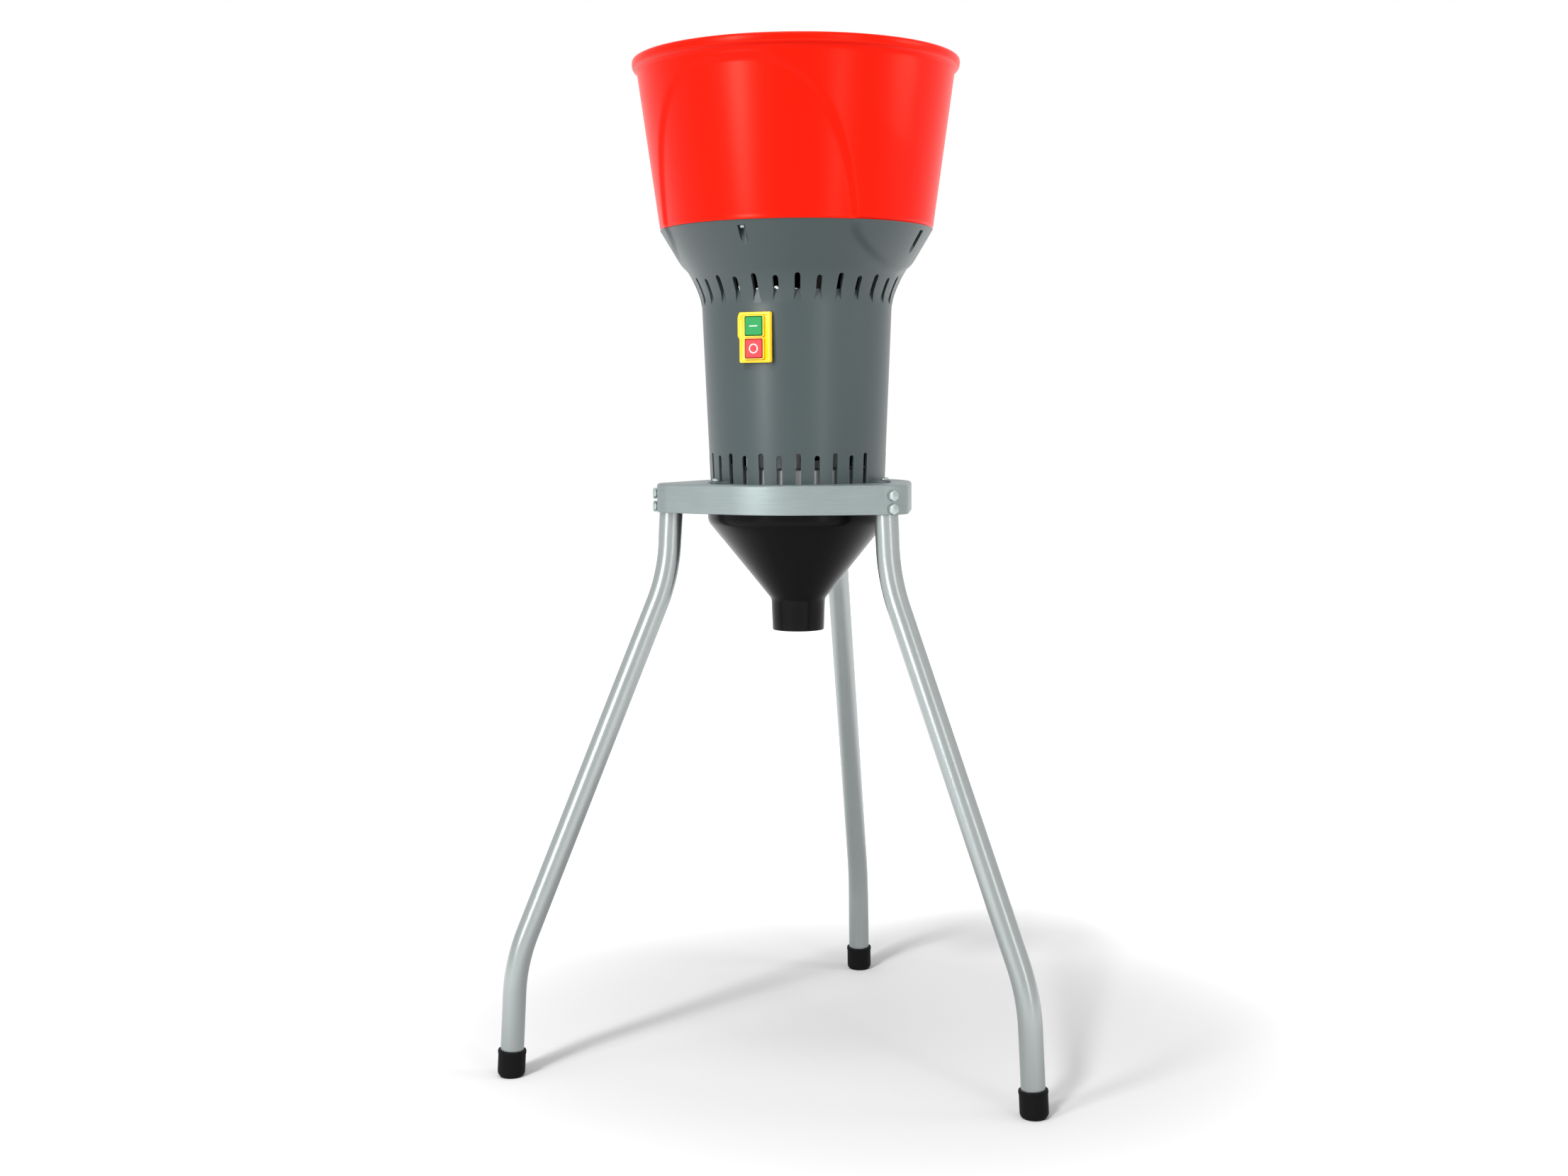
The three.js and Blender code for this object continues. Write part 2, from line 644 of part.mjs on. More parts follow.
function makeRing() {
  const outline = (inset, z) => ringOutline(inset).map(({ x, y }) => new THREE.Vector3(x, y, z));
  const count = ringOutline(0).length;
  const opening = (z) => Array.from({ length: count }, (_, i) => {
    const angle = heading(legAzimuths[0]) + (fullTurn * (i - cornerSteps / 2)) / count;
    return new THREE.Vector3(Math.cos(angle), Math.sin(angle), 0)
      .multiplyScalar(ringOpeningRadius).setZ(z);
  });
  const edge = ringEdgeRadius;
  const body = skinned([
    outline(0, ringBottomZ),
    outline(0, ringTopZ - edge),
    outline(edge * (1 - Math.SQRT1_2), ringTopZ - edge * (1 - Math.SQRT1_2)),
    outline(edge, ringTopZ),
    opening(ringTopZ),
    opening(plateUnderZ),
    outline(edge, plateUnderZ),
    outline(ringSheet, ringTopZ - edge),
    outline(ringSheet, ringBottomZ),
  ]);
  const boltHole = radial(rod(boltRadius + slip, ringCornerRadius - 2 * overrun,
    ringCornerRadius + overrun, 8)).rotateZ(degrees(legBoltTurn)).translate(ringCornerReach, 0, 0);
  const screwHole = rod(frameScrewRadius + slip, plateUnderZ - overrun, ringTopZ + overrun, 8);
  return cut(solid(body), [
    ...boltDrops.map((drop) => around(legAzimuths, boltHole.clone().translate(0, 0, ringTopZ - drop))),
    around(earAzimuths, screwHole.translate(earReach, 0, 0)),
  ]);
}

add('frame_ring', makeRing(), zincSteel);

// Legs: bent tubes whose upper ends stand in the corners of the ring, bolted through the skirt.
const legSides = 10;
const bendSteps = 3;
const legTopGap = 1.5;
const capFloor = 6;
const leanRate = Math.tan(legLean);
const legTubeReach = legTubeRadius / Math.cos(legLean);
const cornerSeat = ringCornerRadius - ringSheet - seat - legTubeReach;
const legTopZ = plateUnderZ - legTopGap - legTubeRadius * Math.sin(legLean);
const upperReachAt = (z) => (ringBottomZ - z) * leanRate;
const lowerReachAt = (z) => footSpread - z * leanRate;
const legPoint = (reach, z) => new THREE.Vector3(reach, 0, z);

// Stands a piece of a leg in its corner. It is made with the middle of the leg's top on the axis.
const inCorner = (geometry) => geometry.rotateZ(degrees(legTurn)).translate(
  ringCornerReach + cornerSeat * Math.cos(degrees(legBoltTurn)),
  cornerSeat * Math.sin(degrees(legBoltTurn)), 0);

// Stations on an arc that rounds a corner between two straight runs.
function bend(before, corner, after) {
  const into = corner.clone().sub(before).normalize();
  const out = after.clone().sub(corner).normalize();
  const turn = into.angleTo(out);
  const start = corner.clone().addScaledVector(into, -legBendRadius * Math.tan(turn / 2));
  const inward = out.clone().addScaledVector(into, -into.dot(out)).normalize();
  return Array.from({ length: bendSteps + 1 }, (_, i) => {
    const angle = (turn * i) / bendSteps;
    return start.clone()
      .addScaledVector(into, legBendRadius * Math.sin(angle))
      .addScaledVector(inward, legBendRadius * (1 - Math.cos(angle)));
  });
}

// A centre line through stations, one step to each, so that straight runs take a single step.
class LegLine extends THREE.Curve {
  constructor(stations) {
    super();
    this.stations = stations;
  }

  getPoint(t, target = new THREE.Vector3()) {
    const last = this.stations.length - 1;
    const i = Math.min(Math.floor(t * last), last - 1);
    return target.lerpVectors(this.stations[i], this.stations[i + 1], t * last - i);
  }

  getUtoTmapping(u) {
    return u;
  }
}

function makeLeg() {
  const upperBendZ = ringTopZ - legUpperRun;
  const footZ = (capFloor + seat) / Math.cos(legLean);
  const top = legPoint(upperReachAt(legTopZ), legTopZ);
  const upper = legPoint(upperReachAt(upperBendZ), upperBendZ);
  const lower = legPoint(lowerReachAt(legLowerRun), legLowerRun);
  const foot = legPoint(lowerReachAt(footZ), footZ);
  const stations = [top, ...bend(top, upper, lower), ...bend(upper, lower, foot), foot];
  const section = new THREE.Shape(loop(legTubeRadius, legSides));
  section.holes.push(new THREE.Path(loop(legTubeRadius - legTubeWall, legSides)));
  const tube = new THREE.ExtrudeGeometry(section, {
    steps: stations.length - 1,
    extrudePath: new LegLine(stations),
    bevelEnabled: false,
  });
  const boltHole = radial(rod(boltRadius + slip, -2 * legTubeRadius, 2 * legTubeRadius, 8))
    .rotateZ(degrees(legBoltTurn - legTurn));
  return inCorner(geometryOf(cut(solid(tube),
    boltDrops.map((drop) => boltHole.clone().translate(0, 0, ringTopZ - drop)))));
}

const legNames = ['leg_left', 'leg_right', 'leg_rear'];
const leg = makeLeg();
legNames.forEach((name, i) => add(name, at(legAzimuths[i], leg), zincSteel));

// Rubber foot caps, leaning with the tube and worn flat where they stand.
const capRadius = 14.75;
const capHeight = 29;
const capEdge = 3;
const capLip = 1;
const capSides = 12;
const capBore = legTubeRadius / Math.cos(Math.PI / capSides) + seat;

function makeFootCap() {
  const cap = turned([
    [0, -overrun],
    [capRadius - capEdge, -overrun],
    [capRadius - capEdge, 0],
    [capRadius, capEdge],
    [capRadius, capHeight - 2 * capLip],
    [capRadius + capLip / 2, capHeight - capLip],
    [capRadius, capHeight],
    [capBore, capHeight],
    [capBore, capFloor],
    [0, capFloor],
  ], capSides);
  cap.rotateY(-legLean).translate(footSpread, 0, 0);
  const ground = block(2 * footSpread, 2 * footSpread, -2 * overrun, 0);
  return inCorner(geometryOf(cut(solid(cap), [ground.translate(footSpread, 0, 0)])));
}

const footCap = makeFootCap();
legNames.forEach((name, i) =>
  add(name.replace('leg', 'foot_cap'), at(legAzimuths[i], footCap), blackRubber));

// Leg bolts: two hexagon bolts through each corner of the ring, each with its nut run up on the
// far side of the tube.
const boltFlats = 10;
const boltHeadThickness = 4;
const boltNutThickness = 5;
const boltHeadReach = ringCornerRadius + seat;
const boltNutReach = cornerSeat + upperReachAt(ringTopZ - boltDrops[0]) - legTubeReach - seat;
const boltEndReach = boltNutReach - boltNutThickness - threadShow;
const legBolt = join(solid(hexagon(boltFlats, boltHeadReach, boltHeadReach + boltHeadThickness)), [
  rod(boltRadius, boltEndReach, boltHeadReach + seat, 6),
  hexagon(boltFlats, boltNutReach - boltNutThickness, boltNutReach),
]);
boltDrops.forEach((drop, i) => addAround(['upper_leg_bolt', 'lower_leg_bolt'][i], legAzimuths,
  radial(geometryOf(legBolt)).rotateZ(degrees(legBoltTurn))
    .translate(ringCornerReach, 0, ringTopZ - drop), brightSteel));

// Frame screws. They clamp the ears of the housing, the ring, the chamber and the funnel, each
// with its nut run up under the funnel's flange.
const frameScrewHeadRadius = 4.5;
const frameScrewHeadHeight = 2.8;
const frameNutFlats = 8;
const frameNutThickness = 4;
const funnelFlangeThickness = 3;
const frameNutTopZ = funnelTopZ - funnelFlangeThickness - seat;
const frameScrewTipZ = frameNutTopZ - frameNutThickness - threadShow;
const frameScrew = join(
  solid(panScrew(frameScrewHeadRadius, frameScrewHeadHeight, frameScrewRadius,
    earTopZ + seat, frameScrewTipZ, 8)),
  [hexagon(frameNutFlats, frameNutTopZ - frameNutThickness, frameNutTopZ)],
);
addAround('frame_screw', earAzimuths, geometryOf(frameScrew).translate(earReach, 0, 0), brightSteel);

// Chamber drum: the steel housing of the hammers. Its flange lies under the frame ring, and
// its top plate carries the motor and the feed tube.
const drumSides = 30;
const shaftClearance = 1.5;
const studAzimuths = spread(3, 30);
const studReach = 80.5;
const studRadius = 2.5;
const tieRodAzimuths = spread(4);
const feedTubeSides = 12;

function makeDrum() {
  const bore = shaftRadius + shaftClearance;
  const body = turned([
    [bore, drumTopZ],
    [drumRadius, drumTopZ],
    [drumRadius, drumFlangeZ],
    [chamberFlangeRadius, drumFlangeZ],
    [chamberFlangeRadius, drumFlangeZ - drumSheet],
    [drumRadius, drumFlangeZ - drumSheet],
    [drumRadius, drumBottomZ],
    [drumRadius - drumSheet, drumBottomZ],
    [drumRadius - drumSheet, drumPlateUnderZ],
    [bore, drumPlateUnderZ],
    [bore, drumTopZ],
  ], drumSides);
  const hole = (radius) => rod(radius, drumBottomZ - overrun, drumTopZ + overrun, 8);
  const feed = rod(feedTubeRadius - feedTubeWall, drumBottomZ, drumTopZ + overrun, feedTubeSides);
  return cut(solid(body), [
    feed.translate(0, throatOffset, 0),
    around(tieRodAzimuths, hole(tieRodRadius + slip).translate(tieRodReach, 0, 0)),
    around(studAzimuths, hole(studRadius + slip).translate(studReach, 0, 0)),
    around(earAzimuths, hole(frameScrewRadius + slip).translate(earReach, 0, 0)),
  ]);
}

add('chamber_drum', makeDrum(), zincSteel);

// Feed tube: takes the grain past the motor, from the throat of the hopper to the chamber.
const feedTubeTopZ = throatZ - shellWall - seat;
const feedTube = ring(feedTubeRadius - feedTubeWall, feedTubeRadius, drumTopZ + seat, feedTubeTopZ,
  feedTubeSides);
add('feed_tube', feedTube.translate(0, throatOffset, 0), zincSteel);

// Sieve: a slotted steel band round the hammers, held between the top plate and the floor.
const sieveSlots = 12;
const sieveSlotWidth = 5;
const sieveMargin = 7;
const sieveTopZ = drumPlateUnderZ - seat;
const sieveHeight = 42.7;
const sieveBottomZ = sieveTopZ - sieveHeight;
const sieveSides = 24;
const sieveBand = ring(sieveRadius - sieveSheet, sieveRadius, sieveBottomZ, sieveTopZ, sieveSides);
const sieveSlot = block(4 * sieveSheet + overrun, sieveSlotWidth, sieveBottomZ + sieveMargin,
  sieveTopZ - sieveMargin).translate(sieveRadius, 0, 0);
const slotAzimuths = spread(sieveSlots, 180 / sieveSides);
add('sieve', cut(solid(sieveBand), [around(slotAzimuths, sieveSlot)]), brightSteel);

// Chamber floor: closes the sieve from below, on three long studs with their nuts.
const floorBandRadius = 77;
const floorLobeRadius = 5;
const floorTopZ = sieveBottomZ - seat;
const floorUnderZ = floorTopZ - chamberFloorSheet;
const studHeadFlats = 8;
const studHeadThickness = 3.5;
const studNutThickness = 4;
const studNutTopZ = floorUnderZ - seat;
const studTipZ = studNutTopZ - studNutThickness - threadShow;
const chamberFloor = cut(
  solid(plate(lobedOutline(floorBandRadius, floorLobeRadius, studReach, studAzimuths, 3, 6),
    floorUnderZ, floorTopZ)),
  [around(studAzimuths, rod(studRadius + slip, floorUnderZ - overrun, floorTopZ + overrun, 8)
    .translate(studReach, 0, 0))],
);
add('chamber_floor', chamberFloor, zincSteel);
const stud = join(
  solid(hexagon(studHeadFlats, drumTopZ + seat, drumTopZ + seat + studHeadThickness)),
  [
    rod(studRadius, studTipZ, drumTopZ + 2 * seat, 6),
    hexagon(studHeadFlats, studNutTopZ - studNutThickness, studNutTopZ),
  ],
);
addAround('chamber_stud', studAzimuths, geometryOf(stud).translate(studReach, 0, 0), brightSteel);

// Outlet funnel: a black moulding with a flange, a collar, a cone and a short spout.
const funnelSides = 32;
const collarEndZ = funnelTopZ - funnelCollarRun;
const coneEndZ = collarEndZ - funnelConeRun;
const spoutEndZ = coneEndZ - funnelSpoutRun;
const spoutEndRadius = funnelSpoutRadius - funnelSpoutDraft;
const funnelBody = turned([
  [chamberFlangeRadius, funnelTopZ],
  [chamberFlangeRadius, funnelTopZ - funnelFlangeThickness],
  [funnelCollarRadius, funnelTopZ - funnelFlangeThickness],
  [funnelCollarRadius, collarEndZ],
  [funnelSpoutRadius, coneEndZ],
  [spoutEndRadius, spoutEndZ],
  [spoutEndRadius - funnelWall, spoutEndZ],
  [funnelSpoutRadius - funnelWall, coneEndZ],
  [funnelCollarRadius - funnelWall, collarEndZ],
  [funnelCollarRadius - funnelWall, funnelTopZ],
  [chamberFlangeRadius, funnelTopZ],
], funnelSides);
const funnelHole = rod(frameScrewRadius + slip, collarEndZ, funnelTopZ + overrun, 8);
add('outlet_funnel', cut(solid(funnelBody),
  [around(earAzimuths, funnelHole.translate(earReach, 0, 0))]), blackPlastic);

// Motor, from the chamber upwards: a cast lower shield, the stator and an upper shield, drawn
// together by four tie rods that also hold the motor to the chamber.
const motorSides = 16;
const shieldFloor = 3;
const lowerBearingRadius = 20;
const upperBearingRadius = 13;
const lowerBearingHeight = 12;
const upperBearingHeight = 8;
const bossWall = 3.2;
const upperJournalRadius = 5;
const shieldWindowWidth = 30;
const windowMargin = 8;
const lowerWindowAzimuths = [45, 225];
const upperWindowAzimuths = [135, 315];
const lowerShieldZ = drumTopZ + seat;
const brushAzimuths = [45, 225];
const brushHolderSize = 12;
const brushHolderInner = 19;
const brushHolderOuter = 52;
const carbonSize = 6;
const brushRise = 20.7;
const brushZ = upperShieldZ + brushRise;
const brushSquare = (size, from, to) => radial(block(size, size, from, to)).translate(0, 0, brushZ);

const tieRodHoles = (radius) =>
  around(tieRodAzimuths, rod(radius, drumBottomZ, seamZ, 8).translate(tieRodReach, 0, 0));

function makeLowerShield() {
  const topZ = lowerShieldZ + lowerShieldHeight;
  const floorZ = lowerShieldZ + shieldFloor;
  const bossZ = floorZ + seat + lowerBearingHeight;
  const pocket = lowerBearingRadius + slip;
  const body = turned([
    [shaftRadius + shaftClearance, lowerShieldZ],
    [shieldRadius, lowerShieldZ],
    [shieldRadius, topZ],
    [shieldRadius - shieldWall, topZ],
    [shieldRadius - shieldWall, floorZ],
    [pocket + bossWall, floorZ],
    [pocket + bossWall, bossZ],
    [pocket, bossZ],
    [pocket, floorZ],
    [shaftRadius + shaftClearance, floorZ],
    [shaftRadius + shaftClearance, lowerShieldZ],
  ], motorSides);
  const window = block(shieldRadius, shieldWindowWidth, lowerShieldZ + windowMargin, topZ - windowMargin);
  return cut(solid(body), [
    around(lowerWindowAzimuths, window.translate(shieldRadius, 0, 0)),
    tieRodHoles(tieRodRadius + slip),
  ]);
}

function makeUpperShield() {
  const top = upperShieldTopZ;
  const pocketZ = top - shieldFloor / 2;
  const pocket = upperBearingRadius + slip;
  const body = turned([
    [upperJournalRadius + shaftClearance, top - shieldFloor],
    [shieldRadius - shieldWall, top - shieldFloor],
    [shieldRadius - shieldWall, upperShieldZ],
    [shieldRadius, upperShieldZ],
    [shieldRadius, top],
    [pocket + bossWall, top],
    [pocket + bossWall, pocketZ + upperBearingHeight + seat],
    [pocket, pocketZ + upperBearingHeight + seat],
    [pocket, pocketZ],
    [upperJournalRadius + shaftClearance, pocketZ],
    [upperJournalRadius + shaftClearance, top - shieldFloor],
  ], motorSides);
  const holder = brushSquare(brushHolderSize, brushHolderInner, brushHolderOuter);
  const holderBore = brushSquare(carbonSize + 2 * slip, brushHolderInner - overrun,
    brushHolderOuter - shieldFloor);
  const airWindow = block(shieldRadius, shieldWindowWidth, upperShieldZ + windowMargin,
    top - windowMargin);
  return cut(join(solid(body), [around(brushAzimuths, holder)]), [
    around(brushAzimuths, holderBore),
    around(upperWindowAzimuths, airWindow.translate(shieldRadius, 0, 0)),
    tieRodHoles(tieRodRadius + slip),
  ]);
}

add('lower_motor_shield', makeLowerShield(), castAluminium);
add('upper_motor_shield', makeUpperShield(), castAluminium);
const lowerBearingZ = lowerShieldZ + shieldFloor + seat;
const upperBearingZ = upperShieldTopZ - shieldFloor / 2 + seat;
add('lower_bearing', ring(shaftRadius + slip, lowerBearingRadius, lowerBearingZ,
  lowerBearingZ + lowerBearingHeight, 16), brightSteel);
add('upper_bearing', ring(upperJournalRadius + slip, upperBearingRadius, upperBearingZ,
  upperBearingZ + upperBearingHeight, 16), brightSteel);

// Stator core with two field coils. Each coil arches over both ends of its pole, and its sides
// run through slots in the core.
const coilInner = 28;
const coilOuter = 36.5;
const coilHeight = 9;
const coilAngle = 150;
const poleAngle = 124;
const coilSteps = 8;

function arcBand(inner, outer, span, bottom, top) {
  const edge = (radius) => Array.from({ length: coilSteps + 1 }, (_, i) => {
    const angle = degrees(span * (i / coilSteps - 1 / 2));
    return point(radius * Math.cos(angle), radius * Math.sin(angle));
  });
  return plate([...edge(outer), ...edge(inner).reverse()], bottom, top);
}

// The sides of a coil alone, or of its slots where it is grown by a clearance.
function coilSides(grow, bottom, top) {
  const growth = THREE.MathUtils.radToDeg(grow / coilInner);
  return cut(
    solid(arcBand(coilInner - grow, coilOuter + grow, coilAngle + 2 * growth, bottom, top)),
    [arcBand(coilInner - overrun, coilOuter + overrun, poleAngle - 2 * growth,
      bottom - overrun, top + overrun)],
  );
}

const poleSlots = geometryOf(coilSides(slip, statorZ - overrun, statorTopZ + overrun));
add('stator_core', cut(solid(ring(statorBore, statorRadius, statorZ, statorTopZ, motorSides)), [
  tieRodHoles(tieRodRadius + slip),
  around([0, 180], poleSlots),
]), darkSteel);
const coil = join(coilSides(0, statorZ - 2 * seat, statorTopZ + 2 * seat), [
  arcBand(coilInner, coilOuter, coilAngle, statorTopZ + seat, statorTopZ + seat + coilHeight),
  arcBand(coilInner, coilOuter, coilAngle, statorZ - seat - coilHeight, statorZ - seat),
]);
addAround('field_coil', [0, 180], coil, copper);

// Tie rods with their heads in the chamber and nuts on the upper shield.
const tieRodFlats = 7;
const tieRodHeadThickness = 3.5;
const tieRodNutZ = upperShieldTopZ + seat;
const tieRodHeadZ = drumPlateUnderZ - seat;
const tieRod = join(solid(hexagon(tieRodFlats, tieRodHeadZ - tieRodHeadThickness, tieRodHeadZ)), [
  rod(tieRodRadius, tieRodHeadZ - seat, tieRodNutZ + tieRodHeadThickness + threadShow, 6),
  hexagon(tieRodFlats, tieRodNutZ, tieRodNutZ + tieRodHeadThickness),
]);
addAround('motor_tie_rod', tieRodAzimuths, geometryOf(tieRod).translate(tieRodReach, 0, 0),
  brightSteel);

// Rotor: a stepped shaft with the armature, commutator and fan, and the hammers below. The
// armature is a slotted core with a crown of winding at each end.
const rotorSides = 14;
const armatureRadius = 10;
const shaftStepDrop = 3; // drum plate to the shoulder
const shaftStepZ = drumPlateUnderZ - shaftStepDrop;
const spacerRadius = 14;
const upperSpacerHeight = 10;
const lowerSpacerHeight = 8;
const hubRadius = 6;
const washerRadius = 12;
const washerThickness = 2;
const hubNutFlats = 17;
const hubNutThickness = 6;
const upperBeaterZ = shaftStepZ - upperSpacerHeight - seat - beaterThickness;
const lowerSpacerZ = upperBeaterZ - seat - lowerSpacerHeight;
const lowerBeaterZ = lowerSpacerZ - seat - beaterThickness;
const washerZ = lowerBeaterZ - seat - washerThickness;
const hubNutZ = washerZ - hubNutThickness;
const shaftEndZ = hubNutZ - threadShow;
const armatureSeatZ = lowerBearingZ + lowerBearingHeight + seat;
const journalZ = upperBearingZ - seat;

add('motor_shaft', turned([
  [0, shaftEndZ],
  [hubRadius, shaftEndZ],
  [hubRadius, shaftStepZ],
  [shaftRadius, shaftStepZ],
  [shaftRadius, armatureSeatZ],
  [armatureRadius, armatureSeatZ],
  [armatureRadius, journalZ - shieldFloor],
  [upperJournalRadius, journalZ - shieldFloor],
  [upperJournalRadius, upperBearingZ + upperBearingHeight],
  [0, upperBearingZ + upperBearingHeight],
], rotorSides), brightSteel);

// A disc outline with slots cut in its rim, two points to each tooth and to each slot.
function slottedOutline(outer, inner, count, solidShare) {
  return spread(count).flatMap((angle) => {
    const half = (180 / count) * solidShare;
    const rest = 180 / count;
    return [[outer, -half], [outer, half], [inner, half], [inner, 2 * rest - half]].map(
      ([radius, turn]) => point(radius * Math.cos(degrees(angle + turn)),
        radius * Math.sin(degrees(angle + turn))),
    );
  });
}

const armatureBore = loop(armatureRadius + slip, rotorSides);
const rotorSlots = 10;
const toothShare = 0.7; // of the pitch of a slot
const commutatorBars = 12;
const barShare = 0.75; // of the pitch of a bar
const commutatorRadius = 16;
const commutatorHeight = 20;
const slotDepth = 5;
const barGap = 0.8;
const coreEndGap = 2;
const armatureZ = statorZ + coreEndGap;
const armatureTopZ = statorTopZ - coreEndGap;
const commutatorZ = brushZ - commutatorHeight / 2;
const crownHeight = 8;
const crownRadius = 22;
const crown = (bottom) =>
  ring(armatureRadius + slip, crownRadius, bottom, bottom + crownHeight, rotorSides);
const armatureCore = plate(slottedOutline(rotorRadius, rotorRadius - slotDepth, rotorSlots, toothShare),
  armatureZ, armatureTopZ, [armatureBore]);
add('armature', join(solid(armatureCore), [
  crown(armatureTopZ),
  crown(armatureZ - crownHeight),
]), darkSteel);
add('commutator', plate(slottedOutline(commutatorRadius, commutatorRadius - barGap,
  commutatorBars, barShare), commutatorZ, commutatorZ + commutatorHeight, [armatureBore]), copper);

// Cooling fan: draws air down through the motor.
const fanRadius = 35;
const fanBlades = 7;
const fanDisc = 1.5;
const fanHeight = 12;
const fanHubWall = 3.5;
const bladeThickness = 1.5;
const fanRise = 12;
const fanZ = armatureSeatZ + fanRise;
const fanBody = join(
  solid(ring(armatureRadius + slip, fanRadius, fanZ, fanZ + fanDisc, rotorSides)),
  [ring(armatureRadius + slip, armatureRadius + fanHubWall, fanZ, fanZ + fanHeight, rotorSides)],
);
const bladeInner = armatureRadius + fanHubWall - bladeThickness;
const blade = block(fanRadius - bladeInner, bladeThickness, fanZ + fanDisc / 2, fanZ + fanHeight)
  .translate((fanRadius + bladeInner) / 2, 0, 0);
add('cooling_fan', fanBody.add(solid(around(spread(fanBlades), blade))), blackPlastic);

// Carbon brushes, in the square holders of the upper shield.
const carbonLength = 22;
const carbonInner = commutatorRadius + seat;
addAround('carbon_brush', brushAzimuths, brushSquare(carbonSize, carbonInner,
  carbonInner + carbonLength), blackRubber);

// Terminal block: the white plastic connector on the motor, seen through the upper vents.
const terminalAzimuth = -50;
const terminalReach = 34;
const terminalWidth = 13;
const terminalLength = 28;
const terminalHeight = 15;
const terminalZ = upperShieldTopZ + seat;
const terminalBlock = block(terminalWidth, terminalLength, terminalZ, terminalZ + terminalHeight)
  .translate(terminalReach, 0, 0);
add('terminal_block', at(terminalAzimuth, terminalBlock), whitePlastic);

// Hammers: two flat bars, crossed, between spacers on the shaft end, under a flanged nut.
const hubBore = hubRadius + slip;
const spacer = (radius, bottom, top) => ring(hubBore, radius, bottom, top, 12);

function beater(bottom) {
  const x = beaterLength / 2;
  const y = beaterWidth / 2;
  const bevel = beaterWidth / 4;
  const outline = [
    point(-x + bevel, -y), point(x, -y), point(x, y - bevel),
    point(x - bevel, y), point(-x, y), point(-x, -y + bevel),
  ];
  return plate(outline, bottom, bottom + beaterThickness, [loop(hubBore, 12)]);
}

add('upper_spacer', spacer(spacerRadius, upperBeaterZ + beaterThickness + seat, shaftStepZ - seat),
  brightSteel);
add('upper_beater', beater(upperBeaterZ), brightSteel);
add('lower_spacer', spacer(spacerRadius, lowerSpacerZ, lowerSpacerZ + lowerSpacerHeight),
  brightSteel);
add('lower_beater', beater(lowerBeaterZ).rotateZ(Math.PI / 2), brightSteel);
const hubNut = cut(
  join(solid(hexagon(hubNutFlats, hubNutZ, hubNutZ + hubNutThickness)),
    [rod(washerRadius, washerZ, washerZ + washerThickness, 12)]),
  [rod(hubBore, hubNutZ - overrun, hubNutZ + 2 * overrun, 12)],
);
add('hub_nut', hubNut, brightSteel);

// The origin lies on the floor under the middle of the bounding box.
const middle = new THREE.Box3().setFromObject(mill).getCenter(new THREE.Vector3());
mill.position.set(-middle.x, -middle.y, 0);

export default mill;
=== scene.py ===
import math

import bmesh
import bpy
from mathutils import Matrix, Vector


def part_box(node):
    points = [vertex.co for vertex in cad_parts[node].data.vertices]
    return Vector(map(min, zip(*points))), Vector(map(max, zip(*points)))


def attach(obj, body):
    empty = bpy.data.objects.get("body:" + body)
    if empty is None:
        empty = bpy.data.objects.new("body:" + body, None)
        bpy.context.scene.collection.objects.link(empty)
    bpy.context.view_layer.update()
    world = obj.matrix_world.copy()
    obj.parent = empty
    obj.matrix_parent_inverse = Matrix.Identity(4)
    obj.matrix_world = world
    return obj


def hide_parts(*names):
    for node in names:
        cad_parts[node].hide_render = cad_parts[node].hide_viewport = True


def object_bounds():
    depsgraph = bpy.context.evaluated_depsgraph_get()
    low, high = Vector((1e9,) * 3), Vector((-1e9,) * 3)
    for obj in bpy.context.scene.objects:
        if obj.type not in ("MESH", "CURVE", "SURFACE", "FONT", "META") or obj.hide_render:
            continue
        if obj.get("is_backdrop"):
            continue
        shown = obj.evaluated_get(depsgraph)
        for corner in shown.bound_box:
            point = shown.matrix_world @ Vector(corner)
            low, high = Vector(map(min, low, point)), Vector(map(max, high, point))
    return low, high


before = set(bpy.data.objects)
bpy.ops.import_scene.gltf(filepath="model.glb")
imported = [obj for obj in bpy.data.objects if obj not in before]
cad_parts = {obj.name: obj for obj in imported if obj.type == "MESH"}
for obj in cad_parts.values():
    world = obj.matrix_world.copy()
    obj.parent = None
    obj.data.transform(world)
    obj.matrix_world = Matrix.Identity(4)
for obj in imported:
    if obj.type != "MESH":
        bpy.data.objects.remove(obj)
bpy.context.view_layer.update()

# Camera. It stands a little over two metres off, 24 degrees round from the switch side, somewhat
# above the frame ring, tipped down by five degrees and rolled by a third of one.
funnel_low, funnel_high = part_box("outlet_funnel")
mill_axis = Vector(((funnel_low.x + funnel_high.x) / 2, (funnel_low.y + funnel_high.y) / 2, 0))
camera_heading, camera_tip, camera_roll = (math.radians(a) for a in (24.0, 5.097, -0.312))
camera_distance, camera_side, camera_height = 2.15335, -0.01557, 0.70832
camera = bpy.data.objects.new("camera", bpy.data.cameras.new("camera"))
camera.data.lens = 45.24
camera.data.sensor_width = 36.0
camera.data.clip_end = 60.0
round_to_camera = Matrix.Rotation(camera_heading, 3, "Z")
camera.location = mill_axis + round_to_camera @ Vector(
    (camera_side, -camera_distance, camera_height))
camera.rotation_euler = (round_to_camera
                         @ Matrix.Rotation(math.radians(90) - camera_tip, 3, "X")
                         @ Matrix.Rotation(camera_roll, 3, "Z")).to_euler()
bpy.context.scene.collection.objects.link(camera)
bpy.context.scene.camera = camera

# Studio. Two upright soft boxes stand left and right of the camera, a small one lights the side of
# the hopper and a wide one hangs overhead. A far lamp from the front left draws the shadows of the
# feet, and a pale room fills the rest.
bpy.context.scene.view_settings.view_transform = "Standard"


